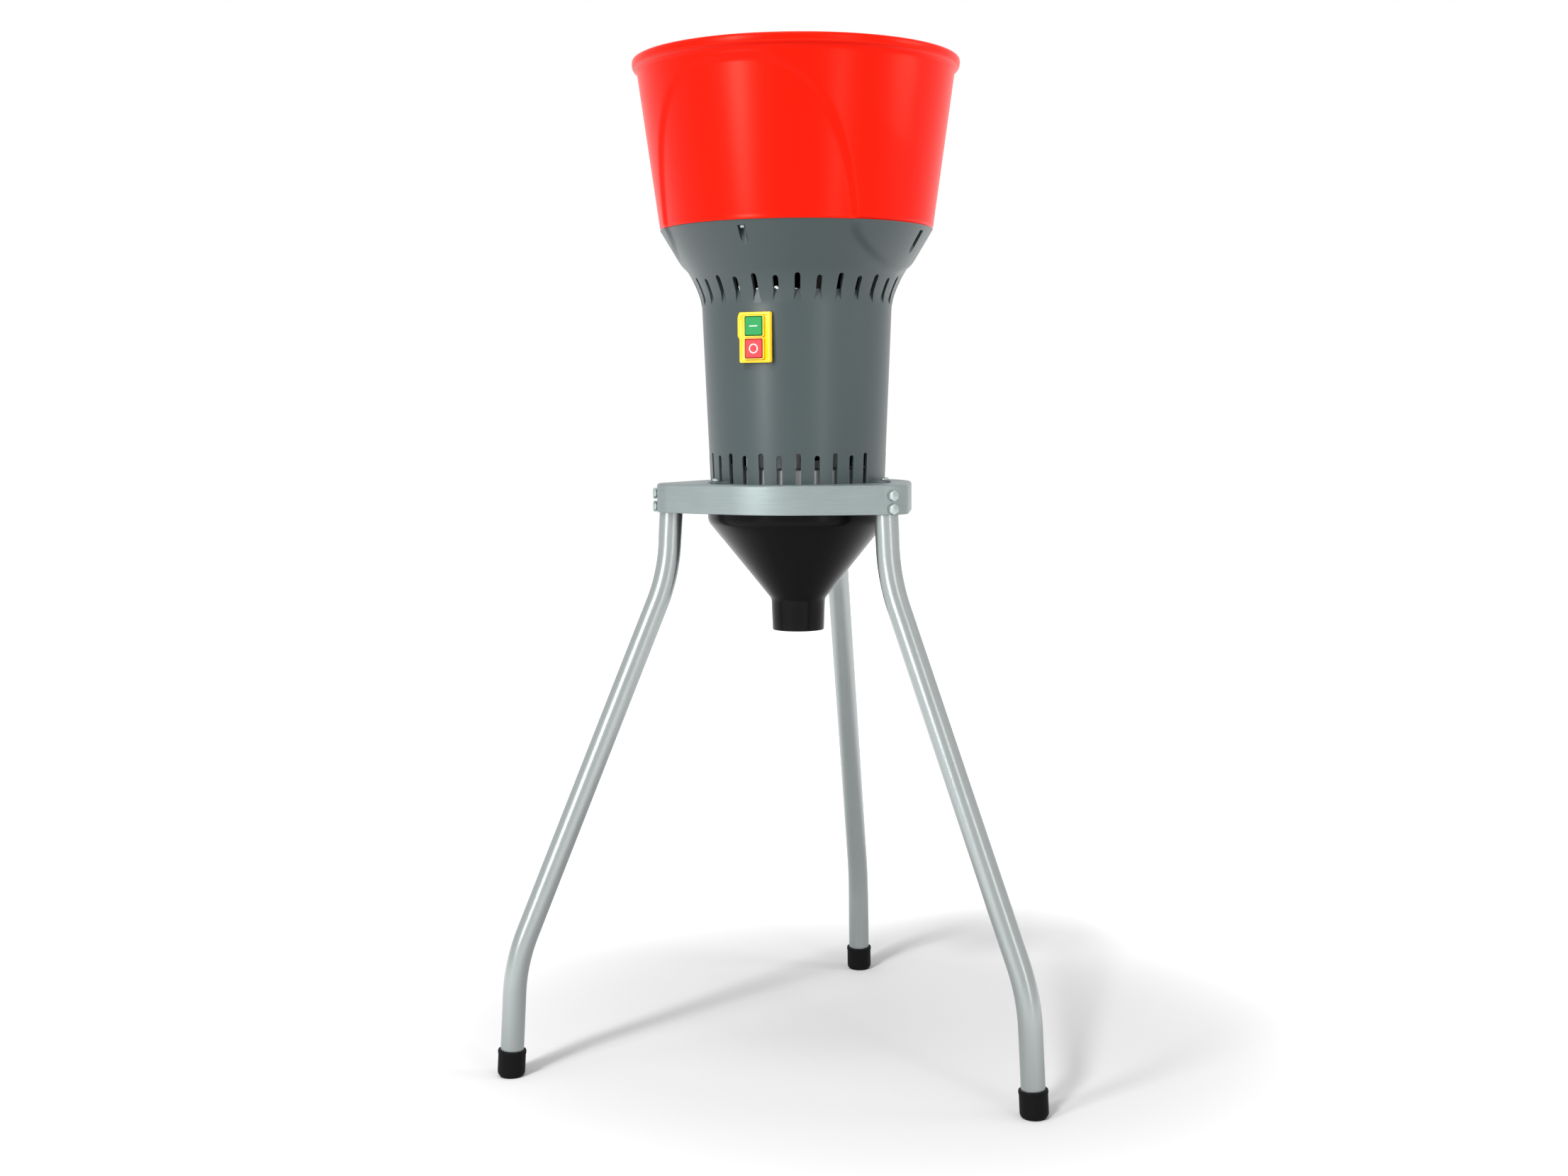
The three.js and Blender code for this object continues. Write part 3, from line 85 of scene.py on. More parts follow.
def soft_box(name, heading, reach, height, width, tall, watts, aim=0.62, tint=(1, 1, 1),
             beam=180, in_gloss=True):
    """An area lamp at a heading from the camera's own, in degrees, turned to face the mill."""
    lamp = bpy.data.objects.new(name, bpy.data.lights.new(name, "AREA"))
    lamp.data.shape = "RECTANGLE"
    lamp.data.size, lamp.data.size_y = width, tall
    lamp.data.energy = watts
    lamp.data.color = tint
    lamp.data.spread = math.radians(beam)
    turn = camera_heading + math.radians(heading)
    lamp.location = (reach * math.sin(turn), -reach * math.cos(turn), height)
    lamp.rotation_euler = (Vector((0, 0, aim)) - lamp.location).to_track_quat("-Z", "Y").to_euler()
    lamp.visible_glossy = in_gloss
    bpy.context.scene.collection.objects.link(lamp)


soft_box("soft_box_left", -42, 2.6, 1.35, 0.46, 1.5, 36, tint=(0.97, 0.99, 1))
soft_box("soft_box_right", 30, 2.8, 1.15, 0.35, 1.9, 10, tint=(1, 0.96, 0.93))
soft_box("soft_box_hopper", 80, 1.7, 1.25, 0.6, 0.5, 3.2, aim=0.95, tint=(1, 0.96, 0.93), beam=70,
         in_gloss=False)
soft_box("soft_box_above", -30, 0.3, 3.0, 0.9, 0.9, 24, aim=0.9)

far_lamp = bpy.data.objects.new("far_lamp", bpy.data.lights.new("far_lamp", "SUN"))
far_lamp.data.energy = 1.5
far_lamp.data.angle = math.radians(7)
far_lamp.rotation_euler = (math.radians(46), 0, camera_heading + math.radians(-30))
far_lamp.visible_glossy = False
bpy.context.scene.collection.objects.link(far_lamp)


def fed(tree, node, takes):
    """Gives inputs of a node their value, or a link from another node's socket."""
    for socket, value in takes.items():
        if isinstance(value, bpy.types.NodeSocket):
            tree.links.new(value, node.inputs[socket])
        else:
            node.inputs[socket].default_value = value


def made(tree, kind, takes=None, operation=None):
    """A new shader node, fed with what it takes."""
    node = tree.nodes.new("ShaderNode" + kind)
    if operation:
        node.operation = operation
    fed(tree, node, takes or {})
    return node


def reckoned(tree, operation, *terms):
    """The result of a math node on sockets and plain numbers."""
    return made(tree, "Math", dict(enumerate(terms)), operation).outputs[0]


def looked_at(tree):
    """1 where the camera, a gloss or a clear part looks, and 0 for the light that fills."""
    ray = made(tree, "LightPath").outputs
    mirrored = reckoned(tree, "MAXIMUM", ray["Is Glossy Ray"], ray["Is Transmission Ray"])
    return reckoned(tree, "MAXIMUM", ray["Is Camera Ray"], mirrored)


room = bpy.data.worlds.new("room")
bpy.context.scene.world = room
room.use_nodes = True
wires = room.node_tree
wires.nodes.clear()
fill = made(wires, "Background", {"Color": (0.93, 0.96, 1.0, 1), "Strength": 0.44})
backdrop = made(wires, "Background", {"Color": (1, 1, 1, 1), "Strength": 1.0})
by_look = made(wires, "MixShader", {"Fac": looked_at(wires), 1: fill.outputs[0],
                                    2: backdrop.outputs[0]})
made(wires, "OutputWorld", {"Surface": by_look.outputs[0]})

# Floor. A pale round sheet that takes the shadows of the feet and fades into the white of the
# backdrop further out. From below it is clear, so that the underside can be looked at.
bm = bmesh.new()
bmesh.ops.create_circle(bm, cap_ends=True, segments=96, radius=9.0)
floor_mesh = bpy.data.meshes.new("floor")
bm.to_mesh(floor_mesh)
bm.free()
floor = bpy.data.objects.new("floor", floor_mesh)
bpy.context.scene.collection.objects.link(floor)
floor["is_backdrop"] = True
pale = bpy.data.materials.new("pale_floor")
pale.use_nodes = True
wires = pale.node_tree
wires.nodes.clear()
paint = made(wires, "BsdfDiffuse", {"Color": (0.71, 0.70, 0.695, 1)})
dim_paint = made(wires, "BsdfDiffuse", {"Color": (0.42, 0.42, 0.42, 1)})
place = made(wires, "TexCoord").outputs["Object"]
from_middle = made(wires, "VectorMath", {0: place}, "LENGTH").outputs["Value"]
fade = made(wires, "MapRange", {"Value": from_middle, "From Min": 0.25, "From Max": 1.05,
                                "To Min": 0.02, "To Max": 1.0})
fade.interpolation_type = "SMOOTHERSTEP"
seen = looked_at(wires)
glow = made(wires, "Emission", {"Strength": reckoned(wires, "MULTIPLY", seen,
                                                     fade.outputs["Result"])})
both = made(wires, "AddShader", {0: paint.outputs[0], 1: glow.outputs[0]})
by_look = made(wires, "MixShader", {"Fac": seen, 1: dim_paint.outputs[0], 2: both.outputs[0]})
from_below = made(wires, "BsdfTransparent")
by_side = made(wires, "MixShader", {"Fac": made(wires, "NewGeometry").outputs["Backfacing"],
                                    1: by_look.outputs[0], 2: from_below.outputs[0]})
made(wires, "OutputMaterial", {"Surface": by_side.outputs[0]})
floor_mesh.materials.append(pale)

# Hopper. One injection moulding in red plastic with a rolled rim. Its side panels stand out a
# little round an arch, and inside a sloping floor runs to a throat behind the motor.
MM = 0.001
throat_end, rim_z = (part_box("hopper")[k].z / MM for k in (0, 1))
seam_z = throat_end + 37.5
crease_angle = math.radians(32)


def eased(corners, steps=4, closed=False):
    """Corners (radius, height, ease) in millimetres as a line, each rounded over its ease."""
    line = []
    for i, (r, z, ease) in enumerate(corners):
        here = Vector((r, z))
        if not ease or (not closed and i in (0, len(corners) - 1)):
            line.append(here)
            continue
        before = here + (Vector(corners[i - 1][:2]) - here).normalized() * ease
        after = here + (Vector(corners[(i + 1) % len(corners)][:2]) - here).normalized() * ease
        for k in range(steps + 1):
            t = k / steps
            line.append(before.lerp(here, t).lerp(here.lerp(after, t), t))
    return line


def stepped(line, longest, closed=False):
    """The same line with its long runs split into steps of at most that many millimetres."""
    fine = []
    for i, here in enumerate(line):
        fine.append(here)
        if i + 1 < len(line) or closed:
            there = line[(i + 1) % len(line)]
            count = math.ceil((there - here).length / longest)
            fine += [here.lerp(there, k / count) for k in range(1, count)]
    return fine


def turned(bm, line, steps, closed=False):
    """Spins a line of (radius, height) points about the mill's own axis."""
    chain = [bm.verts.new((p[0] * MM, 0, p[1] * MM)) for p in line]
    pairs = list(zip(chain, chain[1:])) + ([(chain[-1], chain[0])] if closed else [])
    edges = [bm.edges.new(pair) for pair in pairs]
    bmesh.ops.spin(bm, geom=chain + edges, cent=(0, 0, 0), axis=(0, 0, 1), dvec=(0, 0, 0),
                   angle=2 * math.pi, steps=steps, use_merge=True, use_normal_flip=False,
                   use_duplicate=False)
    bmesh.ops.remove_doubles(bm, verts=bm.verts, dist=0.000002)
    bmesh.ops.dissolve_degenerate(bm, dist=0.000002, edges=bm.edges)
    bmesh.ops.recalc_face_normals(bm, faces=bm.faces)


def settled(bm, name, material, body, replaced=()):
    """Makes a finished mesh a piece of the mill: put in place, shaded and riding on its body."""
    bmesh.ops.translate(bm, verts=bm.verts, vec=mill_axis)
    mesh = bpy.data.meshes.new(name)
    bm.to_mesh(mesh)
    bm.free()
    mesh.shade_smooth()
    mesh.set_sharp_from_angle(angle=crease_angle)
    mesh.materials.append(material)
    piece = bpy.data.objects.new(name, mesh)
    bpy.context.scene.collection.objects.link(piece)
    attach(piece, body)
    if replaced:
        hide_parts(*replaced)


def node_group(name, takes):
    """A shader node group that takes (name, kind, value) and gives a colour, a roughness and a
    height for the bump. It comes with the sockets it takes and those it gives."""
    group = bpy.data.node_groups.new(name, "ShaderNodeTree")
    for socket, kind, value in takes:
        group.interface.new_socket(
            socket, in_out="INPUT", socket_type="NodeSocket" + kind).default_value = value
    for socket, kind in (("Color", "Color"), ("Roughness", "Float"), ("Height", "Float")):
        group.interface.new_socket(socket, in_out="OUTPUT", socket_type="NodeSocket" + kind)
    return (group, group.nodes.new("NodeGroupInput").outputs,
            group.nodes.new("NodeGroupOutput").inputs)


def mixed(tree, factor, first, second):
    """Two colours mixed by a factor."""
    blend = tree.nodes.new("ShaderNodeMix")
    blend.data_type = "RGBA"
    fed(tree, blend, {"Factor": factor, "A": first, "B": second})
    return blend.outputs["Result"]


def noise(tree, place, size, detail):
    """A noise over a place, at the size that the group takes."""
    return made(tree, "TexNoise", {"Vector": place, "Scale": size, "Detail": detail})


def clouded(tree, taken, cloud, color):
    """A colour and a roughness that drift together with a slow noise."""
    drift = reckoned(tree, "MULTIPLY", reckoned(tree, "SUBTRACT", cloud, 0.5), taken["Clouding"])
    brightness = reckoned(tree, "MULTIPLY_ADD", drift, 2.0, 1.0)
    drifted = made(tree, "VectorMath", {0: color, "Scale": brightness}, "SCALE")
    return drifted.outputs["Vector"], reckoned(tree, "ADD", taken["Roughness"], drift)


def finished(name, group, bump, takes, on_shader):
    """A material whose group gives what varies. Even values sit on the shader itself."""
    material = bpy.data.materials.new(name)
    material.use_nodes = True
    wires = material.node_tree
    skin = wires.nodes.new("ShaderNodeGroup")
    skin.node_tree = group
    fed(wires, skin, takes)
    relief = made(wires, "Bump", {"Strength": bump, "Distance": 0.0004,
                                  "Height": skin.outputs["Height"]})
    fed(wires, wires.nodes["Principled BSDF"], {
        "Base Color": skin.outputs["Color"], "Roughness": skin.outputs["Roughness"],
        "Normal": relief.outputs["Normal"], **on_shader})
    return material


# Effect shared by the moulded plastics: a fine spark-eroded grain for the bump, soft clouding of
# the colour and the gloss, and a paler, duller line along the edges where hands have rubbed.
moulded, taken, given = node_group("moulded_skin", [
    ("Color", "Color", (0.5, 0.5, 0.5, 1)), ("Rubbed Color", "Color", (0.6, 0.6, 0.6, 1)),
    ("Roughness", "Float", 0.4), ("Cloud Size", "Float", 9.0), ("Clouding", "Float", 0.06),
    ("Grain Size", "Float", 900.0), ("Edge Width", "Float", 0.0012), ("Rubbing", "Float", 0.35),
])
place = made(moulded, "TexCoord").outputs["Object"]
cloud = noise(moulded, place, taken["Cloud Size"], 4).outputs["Fac"]
grain = noise(moulded, place, taken["Grain Size"], 2).outputs["Fac"]
color, dullness = clouded(moulded, taken, cloud, taken["Color"])
soft_edge = made(moulded, "Bevel", {"Radius": taken["Edge Width"]})
soft_edge.samples = 4
along = made(moulded, "VectorMath", {
    0: soft_edge.outputs["Normal"], 1: made(moulded, "NewGeometry").outputs["Normal"]},
    "DOT_PRODUCT")
edge = made(moulded, "MapRange", {"Value": along.outputs["Value"], "From Min": 0.995,
                                  "From Max": 0.80}).outputs["Result"]
rubbed = reckoned(moulded, "MULTIPLY", reckoned(moulded, "MULTIPLY", edge, cloud),
                  taken["Rubbing"])
moulded.links.new(mixed(moulded, rubbed, color, taken["Rubbed Color"]), given["Color"])
moulded.links.new(dullness, given["Roughness"])
moulded.links.new(grain, given["Height"])


def plastic(name, color, rubbed_color, roughness, grain_size=900.0, bump=0.06, clouding=0.06,
            coat=0.0, specular=0.5, rubbing=0.35, edge_width=0.0012, tint=(1, 1, 1)):
    """A moulded plastic. Gloss, tint and coat sit on the shader, and the group gives the rest."""
    return finished(name, moulded, bump, {
        "Color": (*color, 1), "Rubbed Color": (*rubbed_color, 1), "Roughness": roughness,
        "Clouding": clouding, "Grain Size": grain_size, "Edge Width": edge_width,
        "Rubbing": rubbing,
    }, {
        "Specular IOR Level": specular, "Specular Tint": (*tint, 1), "Coat Weight": coat,
        "Coat Roughness": 0.08,
    })


hopper_red = plastic("hopper_red", (0.98, 0.008, 0.0005), (1.0, 0.09, 0.03), 0.29, bump=0.05,
                     clouding=0.05, specular=0.15, tint=(1, 0.86, 0.66))
seam_radius, rim_radius, hopper_wall, hopper_slope = 145.2, 175.4, 3.0, 23.4 / 167.5
panel_relief, panel_sunk = 2.9, 1.3
front_arch = {"half_width": 107.5, "height": 158, "squareness": 2.75, "softness": 5.2}
floor_rise, flank_rise, lip_rise = 22, 164.5, 178.5
floor_top, throat_top = seam_z + floor_rise, seam_z - 23.5
throat_radius, throat_wall, throat_offset = 10.5, 1.2, 62.0
foot_radius_inside = seam_radius - hopper_wall
inner_floor = foot_radius_inside + floor_rise * hopper_slope
lip = foot_radius_inside + lip_rise * hopper_slope
inside_and_rim = stepped(eased([
    (seam_radius, seam_z, 0),
    (seam_radius + flank_rise * hopper_slope, seam_z + flank_rise, 2),
    (rim_radius - 4.6, rim_z - 11.2, 1.6),
    (rim_radius - 1.2, rim_z - 9.4, 1.6),
    (rim_radius, rim_z - 6, 2.5),
    (rim_radius, rim_z, 3.2),
    (lip - 0.4, rim_z, 2.6),
    (lip - 1.6, rim_z - 9, 3),
    (inner_floor, floor_top, 12),
    (throat_radius, throat_top, 3),
    (throat_radius, throat_end, 0),
]), 2.6)
underside = stepped(eased([
    (throat_radius, throat_end, 0),
    (throat_radius + throat_wall, throat_end, 0),
    (throat_radius + throat_wall, throat_top - 3, 2),
    (foot_radius_inside - 4.2, floor_top - 3.6, 0),
    (foot_radius_inside, floor_top - 3.6, 1),
    (foot_radius_inside, seam_z, 0),
    (seam_radius, seam_z, 0),
]), 9)
bm = bmesh.new()
turned(bm, inside_and_rim[:-1] + underside[:-1], 320, closed=True)


def arch_step(x, rise, half_width, height, squareness, softness):
    """0 inside the arch and 1 outside it, going over softly. Sizes are in millimetres."""
    x, rise = max(abs(x), 0.01), max(rise, 0.01)
    grown = ((x / half_width) ** squareness + (rise / height) ** squareness) ** (1 / squareness)
    slope_x = (x / half_width) ** (squareness - 1) / half_width
    slope_z = (rise / height) ** (squareness - 1) / height
    away = (grown - 1) / (math.hypot(slope_x, slope_z) * grown ** (1 - squareness))
    t = min(max(away / softness + 0.5, 0), 1)
    return t * t * (3 - 2 * t)


def pushed_out(v, radius, by):
    """Moves a vertex straight away from the mill's axis by some millimetres."""
    v.co.x *= 1 + by / radius
    v.co.y *= 1 + by / radius


for v in bm.verts:
    x, y, z = (c / MM for c in v.co)
    radius = math.hypot(x, y)
    on_the_cone = radius > seam_radius + (z - seam_z) * hopper_slope - 1
    if radius > inner_floor and z < rim_z - 9 and on_the_cone:
        relief = panel_relief * arch_step(x, z - seam_z, **front_arch) - panel_sunk
        under_rim = 1 - min(max((z - (rim_z - 13)) / 4, 0), 1)
        pushed_out(v, radius, relief * under_rim)
    elif radius < foot_radius_inside - 0.3 and z < floor_top - 0.1:
        v.co.y += throat_offset * min((floor_top - z) / (floor_top - throat_top), 1) * MM
settled(bm, "hopper_shell", hopper_red, "stand", ["hopper"])

# Motor housing. A grey moulding, slightly tapered, that flares out to carry the hopper. Vents are
# drawn down through the flare and up from the foot, four pockets take the hopper's screws, and
# three ears at the foot are screwed to the frame.
housing_grey = plastic("housing_grey", (0.052, 0.072, 0.074), (0.22, 0.25, 0.25), 0.35,
                       grain_size=1400, bump=0.10, clouding=0.07, specular=0.42)
base_z, housing_top = (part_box("motor_housing")[k].z / MM for k in (0, 1))
neck_z = housing_top - 70.5
foot_radius, neck_radius, housing_wall, flare_slope = 94.7, 103.0, 2.6, 0.5986
side_arch = {"half_width": 97.7, "height": 48.5, "squareness": 1.5, "softness": 5.2}
vent_count, vent_width, vent_tops = 30, 6, (18.7, 16.2)
vent_reach, vent_end = neck_radius + 0.15, 150
sill_width, sill_drop, sill_slant = 9.6, 14, 0.125
foot_vent_width, foot_vent_tops, foot_vents_each_way, foot_cut = 5.8, (34.4, 32), 6, (82, 104)
pocket_turns, pocket_reach, pocket_radius, pocket_top = (0, 90, 180, 270), 134, 4.4, seam_z - 5.5
pocket_foot, pocket_end, walls_foot, walls_top, walls_end = (
    seam_z - 42, 154, seam_z - 34, seam_z - 0.2, 150)
switch_z, switch_half_width, switch_half_height = base_z + 154.8, 15.8, 23.3
gland_z, gland_turn, gland_hole, side_cut = base_z + 69, 150, 6.3, (84, 112)
ear_turns, ear_reach, ear_radius = (-33, 87, 207), 104, 6.5
ear_root, ear_low, ear_top = [(93.5, 9.5), (97, 7.5)], base_z + 2.3, base_z + 4.5


def housing_line(inset, lift=0.0):
    """The outside of the housing, or its inside, set in by the wall and with its neck lifted."""
    return eased([(foot_radius - inset, base_z, 0), (neck_radius - inset, neck_z + lift, 15),
                  (seam_radius - inset, housing_top, 0)], steps=10)


def heading_of(turn):
    """An azimuth in degrees, read from the switch side towards +X, as an angle from +X."""
    return math.radians(turn - 90)


def rotated(bm, angle, axis="Z"):
    """Turns a whole mesh about an axis through the origin."""
    bmesh.ops.rotate(bm, verts=bm.verts, cent=(0, 0, 0), matrix=Matrix.Rotation(angle, 3, axis))


def joined(bm, more):
    """Adds one mesh to another and frees it."""
    part = bpy.data.meshes.new("part")
    more.to_mesh(part)
    more.free()
    bm.from_mesh(part)
    bpy.data.meshes.remove(part)


def carved(bm, tools):
    """Takes one body of tools out of another and gives back the rest."""
    holders = []
    for name, mesh_data in (("carved_body", bm), ("carving_tools", tools)):
        bmesh.ops.recalc_face_normals(mesh_data, faces=mesh_data.faces)
        holder = bpy.data.objects.new(name, bpy.data.meshes.new(name))
        mesh_data.to_mesh(holder.data)
        mesh_data.free()
        bpy.context.scene.collection.objects.link(holder)
        holders.append(holder)
    carving = holders[0].modifiers.new("carving", "BOOLEAN")
    carving.object, carving.operation, carving.solver = holders[1], "DIFFERENCE", "EXACT"
    rest = bmesh.new()
    rest.from_object(holders[0], bpy.context.evaluated_depsgraph_get())
    for holder in holders:
        mesh_data = holder.data
        bpy.data.objects.remove(holder)
        bpy.data.meshes.remove(mesh_data)
    return rest


def extruded(bm, places):
    """A face over some places and its copy, joined by walls. It gives the copy's corners."""
    face = bm.faces.new([bm.verts.new(place) for place in places])
    grown = bmesh.ops.extrude_face_region(bm, geom=[face])
    return [g for g in grown["geom"] if isinstance(g, bmesh.types.BMVert)]


def prism(bm, outline, low, high):
    """An upright prism over an outline of (x, y) points."""
    for v in extruded(bm, [(x * MM, y * MM, low * MM) for x, y in outline]):
        v.co.z = high * MM
    bmesh.ops.recalc_face_normals(bm, faces=bm.faces)


def slab(tools, outline, start, end, turn=0.0, slant=0.0):
    """An outline of (across, up) points in millimetres, run outwards from one reach to another and
    turned to an azimuth. The slant leans its near face inwards for each millimetre of height."""
    tool = bmesh.new()
    foot = outline[0][1]
    for v in extruded(tool, [((start - slant * (z - foot)) * MM, x * MM, z * MM)
                             for x, z in outline]):
        v.co.x = end * MM
    rotated(tool, heading_of(turn))
    joined(tools, tool)


def circle(radius, sides):
    """The corners of a round outline."""
    return [(radius * math.cos(2 * math.pi * k / sides),
             radius * math.sin(2 * math.pi * k / sides)) for k in range(sides)]


def half_circle(x, radius, first):
    """Points round half a circle whose middle is on the X axis, from an angle in degrees on."""
    return [(x + radius * math.cos(math.radians(first + a)),
             radius * math.sin(math.radians(first + a))) for a in range(0, 181, 15)]


def slot_outline(width, bottom, top, steps=10):
    """An upright slot with a round top."""
    half = width / 2
    arc = [(half * math.cos(math.pi * k / steps), top - half + half * math.sin(math.pi * k / steps))
           for k in range(steps + 1)]
    return [(-half, bottom), (half, bottom)] + arc


bm = bmesh.new()
turned(bm, stepped(housing_line(0), 3.2) + stepped(housing_line(housing_wall, 8)[::-1], 8), 360,
       closed=True)
for v in bm.verts:
    x, y, z = (c / MM for c in v.co)
    radius = math.hypot(x, y)
    above_neck = z - neck_z
    if above_neck > 6 and radius > neck_radius + above_neck * flare_slope - 1.2:
        relief = panel_relief * (1 - arch_step(y, seam_z - z, **side_arch)) - panel_sunk
        pushed_out(v, radius, relief * min((above_neck - 6) / 15, 1))

tools = bmesh.new()
for i in range(vent_count):
    slot = slot_outline(vent_width, neck_z + 1, neck_z + vent_tops[i % 2])
    sill = [(side * sill_width / 2, neck_z - sill_drop) for side in (-1, 1)]
    slab(tools, sill + slot[1:] + slot[:1], vent_reach, vent_end, turn=360 / vent_count * i,
         slant=sill_slant)
for middle in (0, 180):
    for i in range(-foot_vents_each_way, foot_vents_each_way + 1):
        slot = slot_outline(foot_vent_width, base_z - 6, base_z + foot_vent_tops[abs(i) % 2])
        slab(tools, slot, *foot_cut, turn=middle + 360 / vent_count * i)
for turn in pocket_turns:
    pocket = bmesh.new()
    prism(pocket, half_circle(pocket_reach, pocket_radius, 90)
          + [(pocket_end, -pocket_radius), (pocket_end, pocket_radius)], pocket_foot, pocket_top)
    rotated(pocket, heading_of(turn))
    joined(tools, pocket)
slab(tools, [(across * switch_half_width, switch_z + up * switch_half_height)
             for across, up in ((-1, -1), (1, -1), (1, 1), (-1, 1))], *side_cut)
slab(tools, [(x, gland_z + up) for x, up in circle(gland_hole, 24)], *side_cut, turn=gland_turn)
bm = carved(bm, tools)

# The pockets have walls and a roof behind the flare, and the ears a soft upper edge.
for turn in pocket_turns:
    walls = bmesh.new()
    near, far = pocket_radius + 0.05, pocket_radius + 2.4
    inner, outer = (half_circle(pocket_reach, radius, 90) for radius in (near, far))
    prism(walls, outer + [(walls_end, -far), (walls_end, -near)] + inner[::-1]
          + [(walls_end, near), (walls_end, far)], walls_foot, walls_top)
    prism(walls, inner + [(walls_end, -near), (walls_end, near)], pocket_top + 0.1, walls_top)
    bmesh.ops.bisect_plane(walls, geom=walls.verts[:] + walls.edges[:] + walls.faces[:],
                           plane_co=((neck_radius - 2) * MM, 0, neck_z * MM),
                           plane_no=(1, 0, -flare_slope), clear_outer=True)
    bmesh.ops.holes_fill(walls, edges=[e for e in walls.edges if e.is_boundary])
    bmesh.ops.recalc_face_normals(walls, faces=walls.faces)
    rotated(walls, heading_of(turn))
    joined(bm, walls)
for turn in ear_turns:
    ear = bmesh.new()
    prism(ear, [(x, -y) for x, y in ear_root] + half_circle(ear_reach, ear_radius, -90)
          + ear_root[::-1], ear_low, ear_top)
    rims = [e for e in ear.edges if all(abs(v.co.z - ear_top * MM) < 1e-6 for v in e.verts)]
    bmesh.ops.bevel(ear, geom=rims, offset=0.6 * MM, offset_type="OFFSET", segments=2,
                    profile=0.5, affect="EDGES", material=-1)
    rotated(ear, heading_of(turn))
    joined(bm, ear)
settled(bm, "motor_housing_shell", housing_grey, "stand", ["motor_housing"])

# Effect shared by the metals: fine lines drawn along one direction for the bump and for streaks
# in the colour, and soft clouding of the colour and the gloss.
coated, taken, given = node_group("zinc_coat", [
    ("Color", "Color", (0.5, 0.5, 0.5, 1)), ("Streak Color", "Color", (0.4, 0.4, 0.4, 1)),
    ("Roughness", "Float", 0.35), ("Stretch", "Vector", (1, 1, 1)), ("Grain Size", "Float", 900.0),
    ("Streaks", "Float", 0.5), ("Cloud Size", "Float", 24.0), ("Clouding", "Float", 0.1),
])
place = made(coated, "TexCoord").outputs["Object"]
drawn = made(coated, "VectorMath", {0: place, 1: taken["Stretch"]}, "MULTIPLY")
lines = noise(coated, drawn.outputs["Vector"], taken["Grain Size"], 4)
lines.inputs["Roughness"].default_value = 0.6
cloud = noise(coated, place, taken["Cloud Size"], 3)
sharp = made(coated, "MapRange", {"Value": lines.outputs["Fac"], "From Min": 0.35,
                                  "From Max": 0.65})
streak = reckoned(coated, "MULTIPLY", sharp.outputs["Result"], taken["Streaks"])
color, dullness = clouded(coated, taken, cloud.outputs["Fac"],
                          mixed(coated, streak, taken["Color"], taken["Streak Color"]))
coated.links.new(color, given["Color"])
coated.links.new(dullness, given["Roughness"])
coated.links.new(lines.outputs["Fac"], given["Height"])


def metal(name, color, streak_color, roughness, stretch=(1, 1, 1), grain_size=900.0, streaks=0.5,
          cloud_size=24.0, clouding=0.1, bump=0.05, metallic=1.0):
    """A metal with a drawn or brushed grain. The stretch is short along the grain."""
    return finished(name, coated, bump, {
        "Color": (*color, 1), "Streak Color": (*streak_color, 1), "Roughness": roughness,
        "Stretch": stretch, "Grain Size": grain_size, "Streaks": streaks,
        "Cloud Size": cloud_size, "Clouding": clouding,
    }, {"Metallic": metallic})


# Frame ring. One pressed sheet in brushed zinc: a flat plate round the foot of the housing, with
# a skirt whose three rounded corners cap the legs.
ring_zinc = metal("ring_zinc", (0.262, 0.305, 0.30), (0.21, 0.254, 0.25), 0.48,
                  stretch=(0.02, 0.02, 1), grain_size=1500, streaks=0.6, bump=0.08, metallic=0.65)
ring_low, ring_top = (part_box("frame_ring")[k].z / MM for k in (0, 1))
corner_turns = (-53, 67, 187)
corner_reach, corner_radius, band_radius, ring_sheet = 125.0, 30.0, 124.0, 2.0
opening_radius, ring_bend, bend_steps, corner_steps, band_steps = 98.0, 3, 8, 28, 12


def ring_outline(inset, z):
    """The outline of the ring, set in by some millimetres, as places at a height."""
    lobe, band = corner_radius - inset, band_radius - inset
    half = math.acos((band - lobe) / corner_reach)
    places = []
    for turn in corner_turns:
        middle = heading_of(turn)
        for k in range(corner_steps + 1):
            a = middle - half + 2 * half * k / corner_steps
            places.append(((corner_reach * math.cos(middle) + lobe * math.cos(a)) * MM,
                           (corner_reach * math.sin(middle) + lobe * math.sin(a)) * MM, z * MM))
        for k in range(band_steps + 1):
            a = middle + half + (math.radians(120) - 2 * half) * k / band_steps
            places.append((band * math.cos(a) * MM, band * math.sin(a) * MM, z * MM))
    return places


def opening(radius, z):
    """The round opening of the ring, with one place to each place of the outline."""
    turns = [math.atan2(y, x) for x, y, _ in ring_outline(0, z)]
    return [(radius * math.cos(a) * MM, radius * math.sin(a) * MM, z * MM) for a in turns]


def skin(bm, rows, closed=True):
    """Joins a chain of outlines. An open chain has its two ends capped."""
    loops = [[bm.verts.new(place) for place in row] for row in rows]
    for here, there in zip(loops, loops[1:] + (loops[:1] if closed else [])):
        for i, v in enumerate(here):
            j = (i + 1) % len(here)
            bm.faces.new((v, here[j], there[j], there[i]))
    if not closed:
        bm.faces.new(loops[0])
        bm.faces.new(loops[-1])
    bmesh.ops.remove_doubles(bm, verts=bm.verts, dist=0.000001)
    bmesh.ops.recalc_face_normals(bm, faces=bm.faces)


